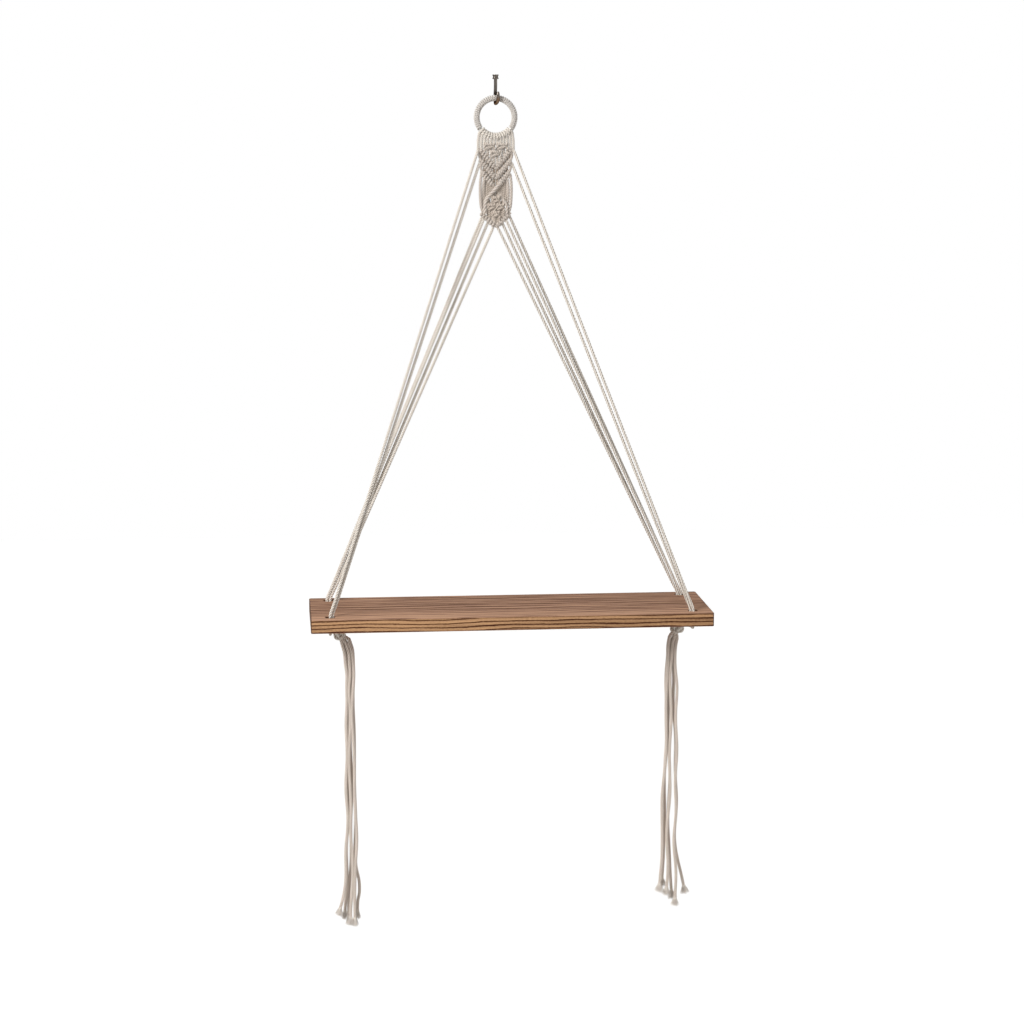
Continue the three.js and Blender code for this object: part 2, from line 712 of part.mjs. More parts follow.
const rightTassel = [
  {
    angle: -16,
    route: [
      [-1.9, -1.9, 14], [-0.9, -1.9, 22], [0.5, -1.9, 32], [1.1, -1.9, 45], [0.2, -1.9, 62],
      [-0.4, -1.9, 95], [-0.4, -2.1, 140], [-1.6, -2.4, 186], [-3.6, -2.8, 231],
      [-5.2, -3.2, 258], [-4.6, -3.6, 300],
    ],
  },
  {
    angle: -16,
    route: [
      [-2.1, 1.9, 14], [-1.1, 1.9, 22], [0.3, 1.9, 32], [0.8, 1.9, 45], [-0.1, 1.9, 62],
      [-0.6, 1.9, 95], [-0.9, 2.1, 140], [-3, 2.4, 186], [-5.4, 3.2, 231], [-8.4, 3.8, 258],
      [-12.5, 4.4, 292],
    ],
  },
  {
    angle: 10,
    route: [
      [1.9, -1.9, 14], [3, -1.9, 22], [4.4, -1.9, 32], [5.2, -1.9, 45], [5.1, -1.9, 62],
      [4.9, -1.9, 95], [5, -2.1, 140], [4.8, -2.4, 186], [4.4, -2.8, 231], [3.6, -3.4, 258],
      [5.6, -3.8, 288],
    ],
  },
  {
    angle: 10,
    route: [
      [1.8, 1.9, 14], [2.8, 1.9, 22], [4.2, 1.9, 32], [4.9, 1.9, 45], [4.8, 1.9, 62],
      [4.6, 1.9, 95], [4.4, 2.1, 140], [3.2, 2.4, 186], [2.2, 2.8, 231], [0.6, 3.2, 258],
      [-1.6, 3.6, 294],
    ],
  },
  {
    angle: 36,
    route: [
      [5.7, -1.9, 12.5], [7.1, -1.9, 20], [8.5, -1.9, 31], [9.3, -1.9, 45], [9.5, -1.9, 62],
      [9.3, -1.9, 95], [10.2, -2, 140], [12.6, -2.2, 186], [13.6, -2.4, 231],
      [13.4, -2.8, 258], [14.6, -3.2, 284],
    ],
  },
  {
    angle: 36,
    route: [
      [5.5, 1.9, 12.5], [6.9, 1.9, 20], [8.2, 1.9, 31], [9, 1.9, 45], [9.2, 1.9, 62],
      [8.9, 1.9, 95], [9.4, 2, 140], [11, 2.2, 186], [11.2, 2.4, 231], [10.6, 2.8, 258],
      [11.8, 3.2, 280],
    ],
  },
];

function tasselStrand(side, { angle, route }) {
  const turn = THREE.MathUtils.degToRad(angle);
  const startBack = Math.sign(route[0][1]) * (ropePitch / 2);
  const from = (distance) =>
    vec(-side * distance * Math.sin(turn), startBack, -distance * Math.cos(turn));
  const rest = route.map(([inboard, back, drop]) => vec(-side * inboard, back, -drop));
  return cord([
    from(knotRadius + clearance),
    from(knotRadius + ropeRadius),
    from(knotRadius + 2 * ropeRadius).lerp(rest[0], 0.12),
    ...rest,
  ]);
}

// Assembly

const shelf = new THREE.Group();
shelf.add(mesh('hook_collar', hookCollar(), steel), mesh('hook_rod', hookRod(), steel));

const ring = new THREE.Group();
ring.position.set(0, 0, ringCentre);
ring.add(mesh('ring_rod', ringRod(), zinc), mesh('ring_winding', ringWinding(), cotton));
for (let index = 0; index < 6; index += 1) {
  ring.add(mesh(`head_${index + 1}`, headKnot(index), cotton));
}

const panel = new THREE.Group();
panel.position.set(0, -panelForward, ringCentre);
panel.add(
  mesh('square_knot_centre', centreKnot(), shadedCotton),
  mesh('diamond_knots', diamondKnots(), shadedCotton),
  mesh('crossing_front', crossingCord(1, -1), cotton),
  mesh('crossing_back', crossingCord(-1, 1), cotton)
);

const hanger = new THREE.Group();
for (const [side, word] of [[-1, 'left'], [1, 'right']]) {
  panel.add(
    mesh(`square_knot_${word}`, upperKnot(side), shadedCotton),
    mesh(`hitch_row_1_${word}`, firstRow(side), cotton),
    mesh(`hitch_row_2_${word}`, vRow(side, rows[1]), cotton),
    mesh(`hitch_row_3_${word}`, vRow(side, lastRow), cotton),
    mesh(`side_strand_1_${word}`, sideStrand(side, 0), cotton),
    mesh(`side_strand_2_${word}`, sideStrand(side, 1), cotton),
    mesh(`closing_row_${word}`, closingRow(side), cotton)
  );
  ropes.forEach((_, index) => {
    hanger.add(mesh(`rope_${word}_${index + 1}`, rope(side, index), cotton));
  });

  const knotPlace = vec(boardShift + side * knotX, 0, knotZ);
  hanger.add(mesh(`end_knot_${word}`, endKnot(), cotton, knotPlace));
  (side < 0 ? leftTassel : rightTassel).forEach((strand, index) => {
    hanger.add(mesh(`tassel_${word}_${index + 1}`, tasselStrand(side, strand), cotton, knotPlace));
  });
}
hanger.add(mesh('board', board(), timber, vec(boardShift, 0, boardTop)));
shelf.add(ring, panel, hanger);

export default shelf;
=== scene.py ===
# A hanging shelf of twisted cotton cord and one wooden board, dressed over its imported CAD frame.
#
# The sections follow the shelf as it is put together: the hook, the ring, the cords knotted
# into the panel, the board, the ropes that carry it, the knots under it and the tassels, and
# last the studio. Lengths are typed in millimetres in the CAD frame: +X along the board to the
# right, -Y to the viewer, +Z up, with the origin in the middle of the hook collar's flat top.

import math

import bpy
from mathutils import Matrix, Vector


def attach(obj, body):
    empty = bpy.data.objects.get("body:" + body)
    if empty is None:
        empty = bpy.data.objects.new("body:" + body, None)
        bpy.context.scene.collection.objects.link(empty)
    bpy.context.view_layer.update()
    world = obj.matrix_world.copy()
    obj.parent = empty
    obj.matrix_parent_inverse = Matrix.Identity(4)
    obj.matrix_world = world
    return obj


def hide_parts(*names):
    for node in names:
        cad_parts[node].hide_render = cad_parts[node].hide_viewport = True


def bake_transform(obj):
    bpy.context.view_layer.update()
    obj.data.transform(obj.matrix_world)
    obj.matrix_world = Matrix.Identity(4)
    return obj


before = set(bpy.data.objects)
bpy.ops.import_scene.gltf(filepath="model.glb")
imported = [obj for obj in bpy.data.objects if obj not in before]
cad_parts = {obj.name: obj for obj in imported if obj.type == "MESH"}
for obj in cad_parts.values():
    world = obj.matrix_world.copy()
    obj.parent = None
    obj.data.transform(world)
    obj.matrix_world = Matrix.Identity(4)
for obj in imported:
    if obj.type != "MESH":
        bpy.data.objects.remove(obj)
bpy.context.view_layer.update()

# Hook.
# A bent wire hook of dark polished steel. It is screwed into a turned collar with a rim at each
# end, by which the shelf is hung up, and its open side faces the viewer.

METRES = 0.001


def linear(code):
    """An sRGB hex colour as linear RGBA."""
    shares = [int(code[at : at + 2], 16) / 255 for at in (1, 3, 5)]
    return [s / 12.92 if s <= 0.04045 else ((s + 0.055) / 1.055) ** 2.4 for s in shares] + [1]


def add_node(tree, kind, inputs=None, **settings):
    """Adds a node. Its inputs, by name or number, are values, sockets or other nodes."""
    node = tree.nodes.new(kind)
    for name, value in settings.items():
        setattr(node, name, value)
    for key, value in (inputs or {}).items():
        if isinstance(value, bpy.types.Node):
            value = value.outputs[0]
        if isinstance(value, bpy.types.NodeSocket):
            tree.links.new(value, node.inputs[key])
        else:
            node.inputs[key].default_value = value
    return node


def new_material(name, **finish):
    """A material with one Principled shader, which is returned with it."""
    material = bpy.data.materials.new(name)
    material.use_nodes = True
    shader = material.node_tree.nodes["Principled BSDF"]
    for socket, value in finish.items():
        shader.inputs[socket.replace("_", " ")].default_value = value
    return material, shader


def smooth_route(points, step, closed=False):
    """Points about a step apart on a centripetal Catmull-Rom curve through the given ones."""
    points = [Vector(point) for point in points]
    count = len(points)
    route = []
    for index in range(count if closed else count - 1):
        if closed:
            four = [points[(index + shift) % count] for shift in (-1, 0, 1, 2)]
        else:
            before = points[index - 1] if index else 2 * points[0] - points[1]
            beyond = points[index + 2] if index + 2 < count else 2 * points[-1] - points[-2]
            four = [before, points[index], points[index + 1], beyond]
        knots = [0.0]
        for near, far in zip(four, four[1:]):
            knots.append(knots[-1] + max((far - near).length, 1e-6) ** 0.5)
        pieces = max(1, round((four[2] - four[1]).length / step))
        for piece in range(pieces):
            at = knots[1] + (knots[2] - knots[1]) * piece / pieces
            level = list(four)
            for span in (1, 2, 3):
                for low in range(4 - span):
                    first, last = knots[low], knots[low + span]
                    if span == 3:
                        first, last = knots[1], knots[2]
                    share = (at - first) / (last - first)
                    level[low] = level[low].lerp(level[low + 1], share)
            route.append(level[0].copy())
    if not closed:
        route.append(points[-1].copy())
    return route


def swept(name, route, radii, sides=32):
    """A smooth round bar along a route in millimetres, as a mesh with closed ends."""
    curve = bpy.data.curves.new(name, "CURVE")
    curve.dimensions = "3D"
    curve.bevel_depth = METRES
    curve.bevel_resolution = sides // 4 - 1
    curve.use_fill_caps = True
    line = curve.splines.new("POLY")
    line.points.add(len(route) - 1)
    for point, place, radius in zip(line.points, route, radii):
        point.co = (*(Vector(place) * METRES), 1)
        point.radius = radius
    return meshed(name, curve)


def meshed(name, curve):
    """A mesh object in place of a curve."""
    maker = bpy.data.objects.new(name, curve)
    bpy.context.scene.collection.objects.link(maker)
    graph = bpy.context.evaluated_depsgraph_get()
    mesh = bpy.data.meshes.new_from_object(maker.evaluated_get(graph))
    bpy.data.objects.remove(maker)
    piece = bpy.data.objects.new(name, mesh)
    bpy.context.scene.collection.objects.link(piece)
    return piece


def turned(name, profile, sides=64):
    """A piece turned about the Z axis from a profile of (radius, height), open on the axis."""
    corners = []
    faces = []
    for radius, height in profile:
        for side in range(sides):
            angle = 2 * math.pi * side / sides
            corners.append(
                Vector((radius * math.cos(angle), radius * math.sin(angle), height)) * METRES
            )
    for level in range(len(profile) - 1):
        for side in range(sides):
            near, beside = level * sides + side, level * sides + (side + 1) % sides
            faces.append((near, near + sides, beside + sides, beside))
    for level, turn in ((0, 1), (len(profile) - 1, -1)):
        faces.append([level * sides + side for side in range(sides)][::turn])
    mesh = bpy.data.meshes.new(name)
    mesh.from_pydata(corners, [], faces)
    mesh.shade_smooth()
    piece = bpy.data.objects.new(name, mesh)
    bpy.context.scene.collection.objects.link(piece)
    return piece


def arc(x, y, radius, first, last, steps):
    """Points on an arc between two angles in degrees."""
    angles = [math.radians(first + (last - first) * step / steps) for step in range(steps + 1)]
    return [(x + radius * math.cos(angle), y + radius * math.sin(angle)) for angle in angles]


def placed(piece, slot, body, *nodes, material=None):
    """Gives a piece its body and, if named, a material, and hides the CAD nodes it stands for. Its
    slot is not used.
    """
    if material:
        piece.data.materials.clear()
        piece.data.materials.append(material)
    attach(piece, body)
    if nodes:
        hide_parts(*nodes)


# Blackened and polished steel: dark grey with black edges and sharp reflections, and a painted
# tan reflection of the warm room on the bend.
hook_steel, shader = new_material(
    "Polished black steel", Metallic=1, Roughness=0.2, Specular_Tint=linear("#1a1613")
)
tree = hook_steel.node_tree
place = add_node(tree, "ShaderNodeTexCoord").outputs["Object"]
drawn = add_node(tree, "ShaderNodeMapping", {0: place, "Scale": (2500, 2500, 120)})
scratches = add_node(tree, "ShaderNodeTexNoise", {0: drawn, "Scale": 1})
relief = add_node(
    tree, "ShaderNodeBump", {"Height": scratches, "Strength": 0.12, "Distance": 0.05 * METRES}
)
tree.links.new(relief.outputs[0], shader.inputs["Normal"])
height = add_node(tree, "ShaderNodeSeparateXYZ", {0: place}).outputs["Z"]
# Painted reflection: the bowl at the foot of the hook is painted tan.
bowl_reflection = add_node(
    tree, "ShaderNodeMapRange", {"Value": height, "From Min": -22 * METRES, "From Max": -25 * METRES}
)
colours = {0: bowl_reflection, 6: linear("#5f5953"), 7: linear("#6d5846")}
colour = add_node(tree, "ShaderNodeMix", colours, data_type="RGBA").outputs[2]
tree.links.new(colour, shader.inputs["Base Color"])

rod_diameter = 3.4
tip_diameter = 2.2
collar_radius = 3.1
collar_waist = 2.6
collar_height = 4.6
collar_rim = 1.4
collar_ease = 0.25
collar_bore = 2
collar_roof = 1.5
shank_length = 11.5
kink_height = 12.3
tip_rise = 6.5
winding_diameter = 7
clearance = 0.3
ring_diameter = 46
ring_radius = (ring_diameter - winding_diameter) / 2
ring_top = -(shank_length + kink_height)
ring_centre = ring_top - ring_radius
bowl_turn = math.radians(22)
bowl_depth = (winding_diameter + rod_diameter) / 2 + clearance
bowl_reach = (winding_diameter / math.cos(bowl_turn) + rod_diameter) / 2 + clearance

# The collar's outline runs from its top, round both rims and up its bore, and starts and ends a
# hair beside the axis.
hair = 0.01
lower_rim = collar_rim - collar_height
eased_radius = collar_radius - collar_ease
rims = [
    arc(eased_radius, rim_top - collar_ease, collar_ease, 90, 0, 4)
    + arc(eased_radius, rim_bottom + collar_ease, collar_ease, 0, -90, 4)
    for rim_top, rim_bottom in ((0, -collar_rim), (lower_rim, -collar_height))
]
profile = [
    (hair, 0),
    *rims[0],
    (collar_waist, -collar_rim - collar_ease / 3),
    (collar_waist, lower_rim + collar_ease / 3),
    *rims[1],
    (collar_bore, -collar_height),
    (collar_bore, -collar_roof),
    (hair, -collar_roof),
]
collar = turned("hook_collar_turned", profile)
placed(collar, "hook_steel", "hook", "hook_collar", material=hook_steel)

# The wire comes straight down out of the collar, is kinked back behind the ring, bends under it
# and rises in front of it.
up = Vector((0, 0, 1))
back_line = Vector((0, math.cos(bowl_turn), 0))
front_line = Vector((math.sin(bowl_turn), -math.cos(bowl_turn), 0))
route = [-up * (collar_roof + clearance), -up * shank_length]
for share in (0.2, 0.4, 0.6, 0.8):
    back = bowl_reach * (1 - math.cos(math.pi * share)) / 2
    route.append(back_line * back - up * (shank_length + kink_height * share))
for step in range(11):
    angle = math.pi * step / 10
    height = ring_top - bowl_depth * math.sin(angle)
    line = back_line if step < 5 else -front_line
    route.append(line * bowl_reach * math.cos(angle) + up * height)
tip_start = up * (ring_top + tip_rise / 2) + front_line * bowl_reach
wire_step = 0.5
wire = smooth_route([*route, tip_start], wire_step)
radii = [rod_diameter / 2] * len(wire)
# The wire is drawn down to a slimmer tip, and the tip's last third is rounded.
tip_steps = 14
round_steps = 5
for step in range(tip_steps + 1):
    reach = (tip_rise / 2) * math.sin(math.pi / 2 * step / tip_steps)
    wire.append(tip_start + up * (reach + hair / 10))
    taper = rod_diameter + (tip_diameter - rod_diameter) * min(1, step / (2 * round_steps))
    rounding = max(0, (step - tip_steps) / round_steps + 1)
    radii.append(max(2 * hair, taper / 2 * math.sqrt(max(0, 1 - rounding**2))))
rod = swept("hook_wire", wire, radii)
rod.data.shade_smooth()
placed(rod, "hook_steel", "hook", "hook_rod", material=hook_steel)

# Ring.
# A welded wire ring hidden under a winding of slim cotton cord, which is bound round all of it
# but the foot, where the shelf's own cords are looped on. The turns crowd inside the ring.

rope_lay = 9.5
profile_sides = 18
# As shares of the cord's radius: where the middle of a strand lies, and the bottom of the groove
# between two strands.
lobe_reach = 0.444
groove_reach = 0.622


def new_tree(name, inputs):
    """An empty geometry tree with a geometry input, the given inputs and an output."""
    made = bpy.data.node_groups.new(name, "GeometryNodeTree")
    made.interface.new_socket("Geometry", in_out="INPUT", socket_type="NodeSocketGeometry")
    for label, kind in inputs.items():
        made.interface.new_socket(label, in_out="INPUT", socket_type="NodeSocket" + kind)
    made.interface.new_socket("Geometry", in_out="OUTPUT", socket_type="NodeSocketGeometry")
    return made, made.nodes.new("NodeGroupInput").outputs


def end_tree(tree, geometry, material):
    """Ends a tree with real geometry in one material."""
    real = add_node(tree, "GeometryNodeRealizeInstances", {0: geometry})
    smooth = add_node(tree, "GeometryNodeSetShadeSmooth", {0: real})
    finish = add_node(tree, "GeometryNodeSetMaterial", {0: smooth, "Material": material})
    add_node(tree, "NodeGroupOutput", {0: finish})


def baked(name, mesh, tree, sizes):
    """A mesh object that a geometry tree has made from a starting mesh."""
    piece = bpy.data.objects.new(name, mesh)
    bpy.context.scene.collection.objects.link(piece)
    maker = piece.modifiers.new("maker", "NODES")
    maker.node_group = tree
    for socket in tree.interface.items_tree:
        if socket.in_out == "INPUT" and socket.name in sizes:
            maker[socket.identifier] = sizes[socket.name]
    graph = bpy.context.evaluated_depsgraph_get()
    made = bpy.data.meshes.new_from_object(piece.evaluated_get(graph))
    piece.modifiers.clear()
    piece.data = made
    return piece


# Three strands laid up to the right. Each route's edges become a curve that is turned as it
# runs and swept with a section of three lobes. Two attributes are kept for the material: how
# near the crown of a strand a point lies, and its place in the cord if it were straight, in
# millimetres.
tree, given = new_tree("Twisted cord", {"Diameter": "Float", "Lay": "Float", "Material": "Material"})
twisted_cord = tree
curve = add_node(tree, "GeometryNodeMeshToCurve", {0: given["Geometry"]})
run = add_node(tree, "GeometryNodeSplineParameter").outputs["Length"]
turns = add_node(tree, "ShaderNodeMath", {0: run, 1: given["Lay"]}, operation="DIVIDE")
tilt = add_node(tree, "ShaderNodeMath", {0: turns, 1: 2 * math.pi}, operation="MULTIPLY")
curve = add_node(tree, "GeometryNodeSetCurveTilt", {0: curve, "Tilt": tilt})
curve = add_node(tree, "GeometryNodeStoreNamedAttribute", {0: curve, "Name": "run", "Value": run})
circle = add_node(
    tree, "GeometryNodeCurvePrimitiveCircle", {"Resolution": profile_sides, "Radius": 1}
)
# From the middle of its lobe, each point of the section lies at this angle.
index = add_node(tree, "GeometryNodeInputIndex")
lobe_sides = profile_sides // 3
in_lobe = add_node(tree, "ShaderNodeMath", {0: index, 1: lobe_sides}, operation="MODULO")
from_lobe = add_node(
    tree,
    "ShaderNodeMath",
    {0: in_lobe, 1: 2 * math.pi / profile_sides, 2: -math.pi / 3},
    operation="MULTIPLY_ADD",
)
sine = add_node(tree, "ShaderNodeMath", {0: from_lobe}, operation="SINE")
cosine = add_node(tree, "ShaderNodeMath", {0: from_lobe}, operation="COSINE")
aside = add_node(tree, "ShaderNodeMath", {0: sine, 1: lobe_reach}, operation="MULTIPLY")
square = add_node(tree, "ShaderNodeMath", {0: aside, 1: 2}, operation="POWER")
left = add_node(tree, "ShaderNodeMath", {0: (1 - lobe_reach) ** 2, 1: square}, operation="SUBTRACT")
flank = add_node(tree, "ShaderNodeMath", {0: left}, operation="SQRT")
reach = add_node(
    tree, "ShaderNodeMath", {0: cosine, 1: lobe_reach, 2: flank}, operation="MULTIPLY_ADD"
)
round_place = add_node(tree, "GeometryNodeInputPosition")
lobed_place = add_node(
    tree, "ShaderNodeVectorMath", {0: round_place, "Scale": reach}, operation="SCALE"
)
section = add_node(tree, "GeometryNodeSetPosition", {0: circle, "Position": lobed_place})
crown = add_node(
    tree, "ShaderNodeMapRange", {"Value": reach, "From Min": groove_reach, "From Max": 1}
)
section = add_node(
    tree, "GeometryNodeStoreNamedAttribute", {0: section, "Name": "crown", "Value": crown}
)
section = add_node(
    tree,
    "GeometryNodeStoreNamedAttribute",
    {0: section, "Name": "section", "Value": add_node(tree, "GeometryNodeInputPosition")},
    data_type="FLOAT_VECTOR",
)
girth = add_node(tree, "GeometryNodeInputNamedAttribute", {"Name": "girth"})
half = add_node(tree, "ShaderNodeMath", {0: given["Diameter"], 1: 0.5}, operation="MULTIPLY")
thickness = add_node(tree, "ShaderNodeMath", {0: girth, 1: half}, operation="MULTIPLY")
cord = add_node(
    tree, "GeometryNodeCurveToMesh", {0: curve, 1: section, "Scale": thickness, "Fill Caps": True}
)
run = add_node(tree, "GeometryNodeInputNamedAttribute", {"Name": "run"})
across = add_node(
    tree, "GeometryNodeInputNamedAttribute", {"Name": "section"}, data_type="FLOAT_VECTOR"
)
across = add_node(tree, "ShaderNodeVectorMath", {0: across, "Scale": half}, operation="SCALE")
along = add_node(tree, "ShaderNodeCombineXYZ", {2: run})
straight = add_node(tree, "ShaderNodeVectorMath", {0: across, 1: along}, operation="ADD")
straight = add_node(
    tree, "ShaderNodeVectorMath", {0: straight, "Scale": 1 / METRES}, operation="SCALE"
)
cord = add_node(
    tree,
    "GeometryNodeStoreNamedAttribute",
    {0: cord, "Name": "cord_place", "Value": straight},
    data_type="FLOAT_VECTOR",
)
end_tree(tree, cord, given["Material"])


def cord_piece(name, routes, diameter, material, lay=rope_lay, closed=False, girths=None):
    """One mesh of twisted cords along routes in millimetres, each with a share of the girth."""
    corners = []
    edges = []
    for route in routes:
        first = len(corners)
        corners += [Vector(place) * METRES for place in route]
        edges += [(first + step, first + step + 1) for step in range(len(route) - 1)]
        if closed:
            edges.append((len(corners) - 1, first))
    mesh = bpy.data.meshes.new(name)
    mesh.from_pydata(corners, edges, [])
    share = mesh.attributes.new("girth", "FLOAT", "POINT")
    share.data.foreach_set("value", girths or [1.0] * len(corners))
    sizes = {"Diameter": diameter * METRES, "Lay": lay * METRES, "Material": material}
    return baked(name, mesh, twisted_cord, sizes)


def cotton(name, light, shade, fibre_depth=0.09):
    """Spun cotton: a fibre relief along the strands, and less light down between them."""
    material, shader = new_material(name, Roughness=0.92, Sheen_Weight=0.25, Sheen_Roughness=0.6)
    tree = material.node_tree
    laid = add_node(tree, "ShaderNodeAttribute", attribute_name="cord_place").outputs["Vector"]
    crown = add_node(tree, "ShaderNodeAttribute", attribute_name="crown").outputs["Fac"]
    # Yarns of about 0.35 mm, which run 3 mm before they pass under.
    yarns = add_node(tree, "ShaderNodeMapping", {0: laid, "Scale": (2.9, 2.9, 0.33)})
    fibres = add_node(
        tree, "ShaderNodeTexNoise", {0: yarns, "Scale": 1, "Detail": 3, "Roughness": 0.6}
    )
    # The tone drifts over about 12 mm of cord.
    drift = add_node(tree, "ShaderNodeTexNoise", {0: laid, "Scale": 1 / 12, "Detail": 2})
    # Painted shade: the colour darkens from the crown of each strand down into the grooves.
    depth = add_node(tree, "ShaderNodeMapRange", {"Value": crown, "From Min": 0.02, "From Max": 0.62})
    uneven = add_node(tree, "ShaderNodeMath", {0: fibres, 1: drift}, operation="ADD")
    lift = add_node(tree, "ShaderNodeMath", {0: uneven, 1: 0.5, 2: -0.5}, operation="MULTIPLY_ADD")
    tone = add_node(tree, "ShaderNodeMath", {0: depth, 1: lift}, operation="ADD", use_clamp=True)
    colours = {0: tone, 6: linear(shade), 7: linear(light)}
    colour = add_node(tree, "ShaderNodeMix", colours, data_type="RGBA").outputs[2]
    tree.links.new(colour, shader.inputs["Base Color"])
    relief = add_node(
        tree, "ShaderNodeBump", {"Height": fibres, "Strength": 0.7, "Distance": fibre_depth * METRES}
    )
    tree.links.new(relief.outputs[0], shader.inputs["Normal"])
    return material


def on_ring(angle, turn, distance):
    """A place by its angle from the ring's foot and its angle round the ring's wire."""
    radius = ring_radius + distance * math.cos(turn)
    return Vector(
        (radius * math.sin(angle), -distance * math.sin(turn), ring_centre - radius * math.cos(angle))
    )


# Natural cotton cord, undyed and softly laid: creamy white, with warm tan shade painted in its
# hollows.
natural_cotton = cotton("Natural cotton cord", "#ebe4da", "#8f7a66")

# Zinc-plated steel wire: pale grey, rather dull.
zinc_wire, shader = new_material(
    "Zinc-plated steel wire", Base_Color=linear("#a9a7a2"), Metallic=1, Roughness=0.42
)
tree = zinc_wire.node_tree
place = add_node(tree, "ShaderNodeTexCoord").outputs["Object"]
bloom = add_node(tree, "ShaderNodeTexNoise", {0: place, "Scale": 400})
dull = add_node(tree, "ShaderNodeMath", {0: bloom, 1: 0.2, 2: 0.32}, operation="MULTIPLY_ADD")
tree.links.new(dull.outputs[0], shader.inputs["Roughness"])

ring_rod_diameter = 3.2
ring_steps = 96
ring_loop = [on_ring(2 * math.pi * step / ring_steps, 0, 0) for step in range(ring_steps + 1)]
ring_wire = swept("ring_wire", ring_loop, [ring_rod_diameter / 2] * len(ring_loop), 16)
ring_wire.data.shade_smooth()
placed(ring_wire, "ring_steel", "ring", "ring_rod", material=zinc_wire)

winding_turns = 41
winding_half_arc = math.radians(125)
winding_cord = 2.2
drawn_winding = 6.9
winding_lay = 5
winding_steps = 20
crowding_share = 1.08
# The same cord wound tight, a little cooler in tone.
winding_cotton = cotton("Natural cotton cord, wound tight", "#e2dcd5", "#8a7b6e")
route = []
girths = []
for step in range(winding_turns * winding_steps + 1):
    share = step / (winding_turns * winding_steps)
    angle = math.pi + winding_half_arc * (2 * share - 1)
    turn = 2 * math.pi * step / winding_steps
    point = on_ring(angle, turn, (drawn_winding - winding_cord) / 2)
    reach = math.hypot(point.x, point.z - ring_centre)
    pitch = reach * 2 * winding_half_arc / winding_turns
    route.append(point)
    girths.append(min(1, crowding_share * pitch / winding_cord))
winding = cord_piece(
    "ring_binding", [route], winding_cord, winding_cotton, lay=winding_lay, girths=girths
)
placed(winding, "cotton_rope", "ring", "ring_winding")

# Heads.
# Six cords are doubled and looped over the foot of the ring, so that twelve legs hang side by
# side in front of it.

rib_angle = math.radians(8.6)
strand_pitch = 3.3
knotted_diameter = 2.9
head_diameter = 3.4
eye_girth_share = 0.66
head_reach = 3.7
panel_forward = 1.3
strand_radius = knotted_diameter / 2
bend_drop = ring_radius + head_reach + clearance + strand_radius
head_lay = 6
head_step = 0.6
# How far below the ring's centre each of the twelve legs goes into its knot or row.
head_ends = [34.5, 33, 30, 29, 29, 27, 27, 29, 29, 30, 33, 34.5]


def in_panel(across, drop, back=0.0):
    """A place in the panel, by its drop below the ring's centre."""
    return Vector((across, back - panel_forward, ring_centre - drop))


# Where the legs leave the ring: a stretch as long as a strand is thick.
bend = [in_panel(0, bend_drop + reach) * METRES for reach in (-strand_radius, strand_radius)]

# Each half of a head runs up its leg, over the front of the ring, down behind it and out below
# the bight, which lies across both halves. The cord is squeezed where it passes through the eye.
head_distance = ring_rod_diameter / 2 + clearance + head_diameter / 2
eye_distance = head_distance - (1 - eye_girth_share) * head_diameter / 2
for head in range(6):
    halves = []
    for rib, side in ((2 * head, 1), (2 * head + 1, -1)):
        angle = (rib - 5.5) * rib_angle
        leg = (rib - 5.5) * strand_pitch
        knee = on_ring(angle, math.pi / 7, head_distance)
        foot = in_panel(leg, ring_radius + head_reach)
        half = [in_panel(leg, head_ends[rib]), in_panel(leg, bend_drop), foot]
        half += [foot.lerp(knee, 0.3), knee]
        for turn_share in (0.5, 0.75, 1, 1.25, 1.5):
            in_eye = (1 - math.cos(math.pi * turn_share)) / 2
            distance = head_distance + (eye_distance - head_distance) * in_eye
            half.append(on_ring(angle, math.pi * turn_share, distance))
        half.append(on_ring(angle + side * rib_angle * 0.2, math.pi * 1.7, head_distance))
        halves.append(half)
    bight = on_ring((2 * head - 5) * rib_angle, math.pi * 1.76, head_distance + clearance)
    route = smooth_route([*halves[0], bight, *reversed(halves[1])], head_step)
    girths = []
    for point in route:
        inside = ring_radius - math.hypot(point.x, point.z - ring_centre)
        share = min(1, max(0, inside / head_distance))
        girths.append(1 - (1 - eye_girth_share) * share)
    name = f"head_{head + 1}"
    loop = cord_piece(
        f"{name}_cord", [route], head_diameter, natural_cotton, lay=head_lay, girths=girths
    )
    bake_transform(loop)
    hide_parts(name)

# Square knots.
# Each is tied with four strands: the outer two pass in turn in front of and behind the inner
# two, and are drawn tight against the ring.

turn_half_width = 1.5 * strand_pitch
turn_depth = knotted_diameter * 0.85
first_turn = bend_drop + strand_radius + knotted_diameter * 0.45
second_turn = first_turn + knotted_diameter
pair_foot = second_turn + strand_radius + clearance
third_turn = pair_foot + 2 * strand_radius
fourth_turn = third_turn + knotted_diameter
upper_turns = (first_turn, second_turn)
lower_turns = (third_turn, fourth_turn)
overlap = 1
loose_diameter = 3.3
knot_lay = 7
row_width = 6.3
row_slope = math.radians(50)
slope_tan = math.tan(row_slope)
slope_cos = math.cos(row_slope)
row_reaches = [17.2, 16, 14.6]
row_step = (row_width + clearance) / slope_cos
under_knots = (strand_radius + clearance + row_width / 2) / slope_cos
first_row_drop = max(
    second_turn + (2 * strand_pitch + turn_half_width) * slope_tan,
    fourth_turn + turn_half_width * slope_tan,
) + under_knots
rows = [(first_row_drop + row * row_step, reach, row_slope) for row, reach in enumerate(row_reaches)]
last_row_drop = rows[-1][0]
closing_row = (112, 17, math.radians(43))
panel_step = 0.6
tuck = 2


def mid_drop(row, across):
    """How far down the middle of a row lies."""
    drop, _, slope = row
    return drop - abs(across) * math.tan(slope)


def seat(row, across):
    """How far down a strand reaches that goes into a row of hitches."""
    return mid_drop(row, across) - row_width / 2 / math.cos(row[2]) + tuck


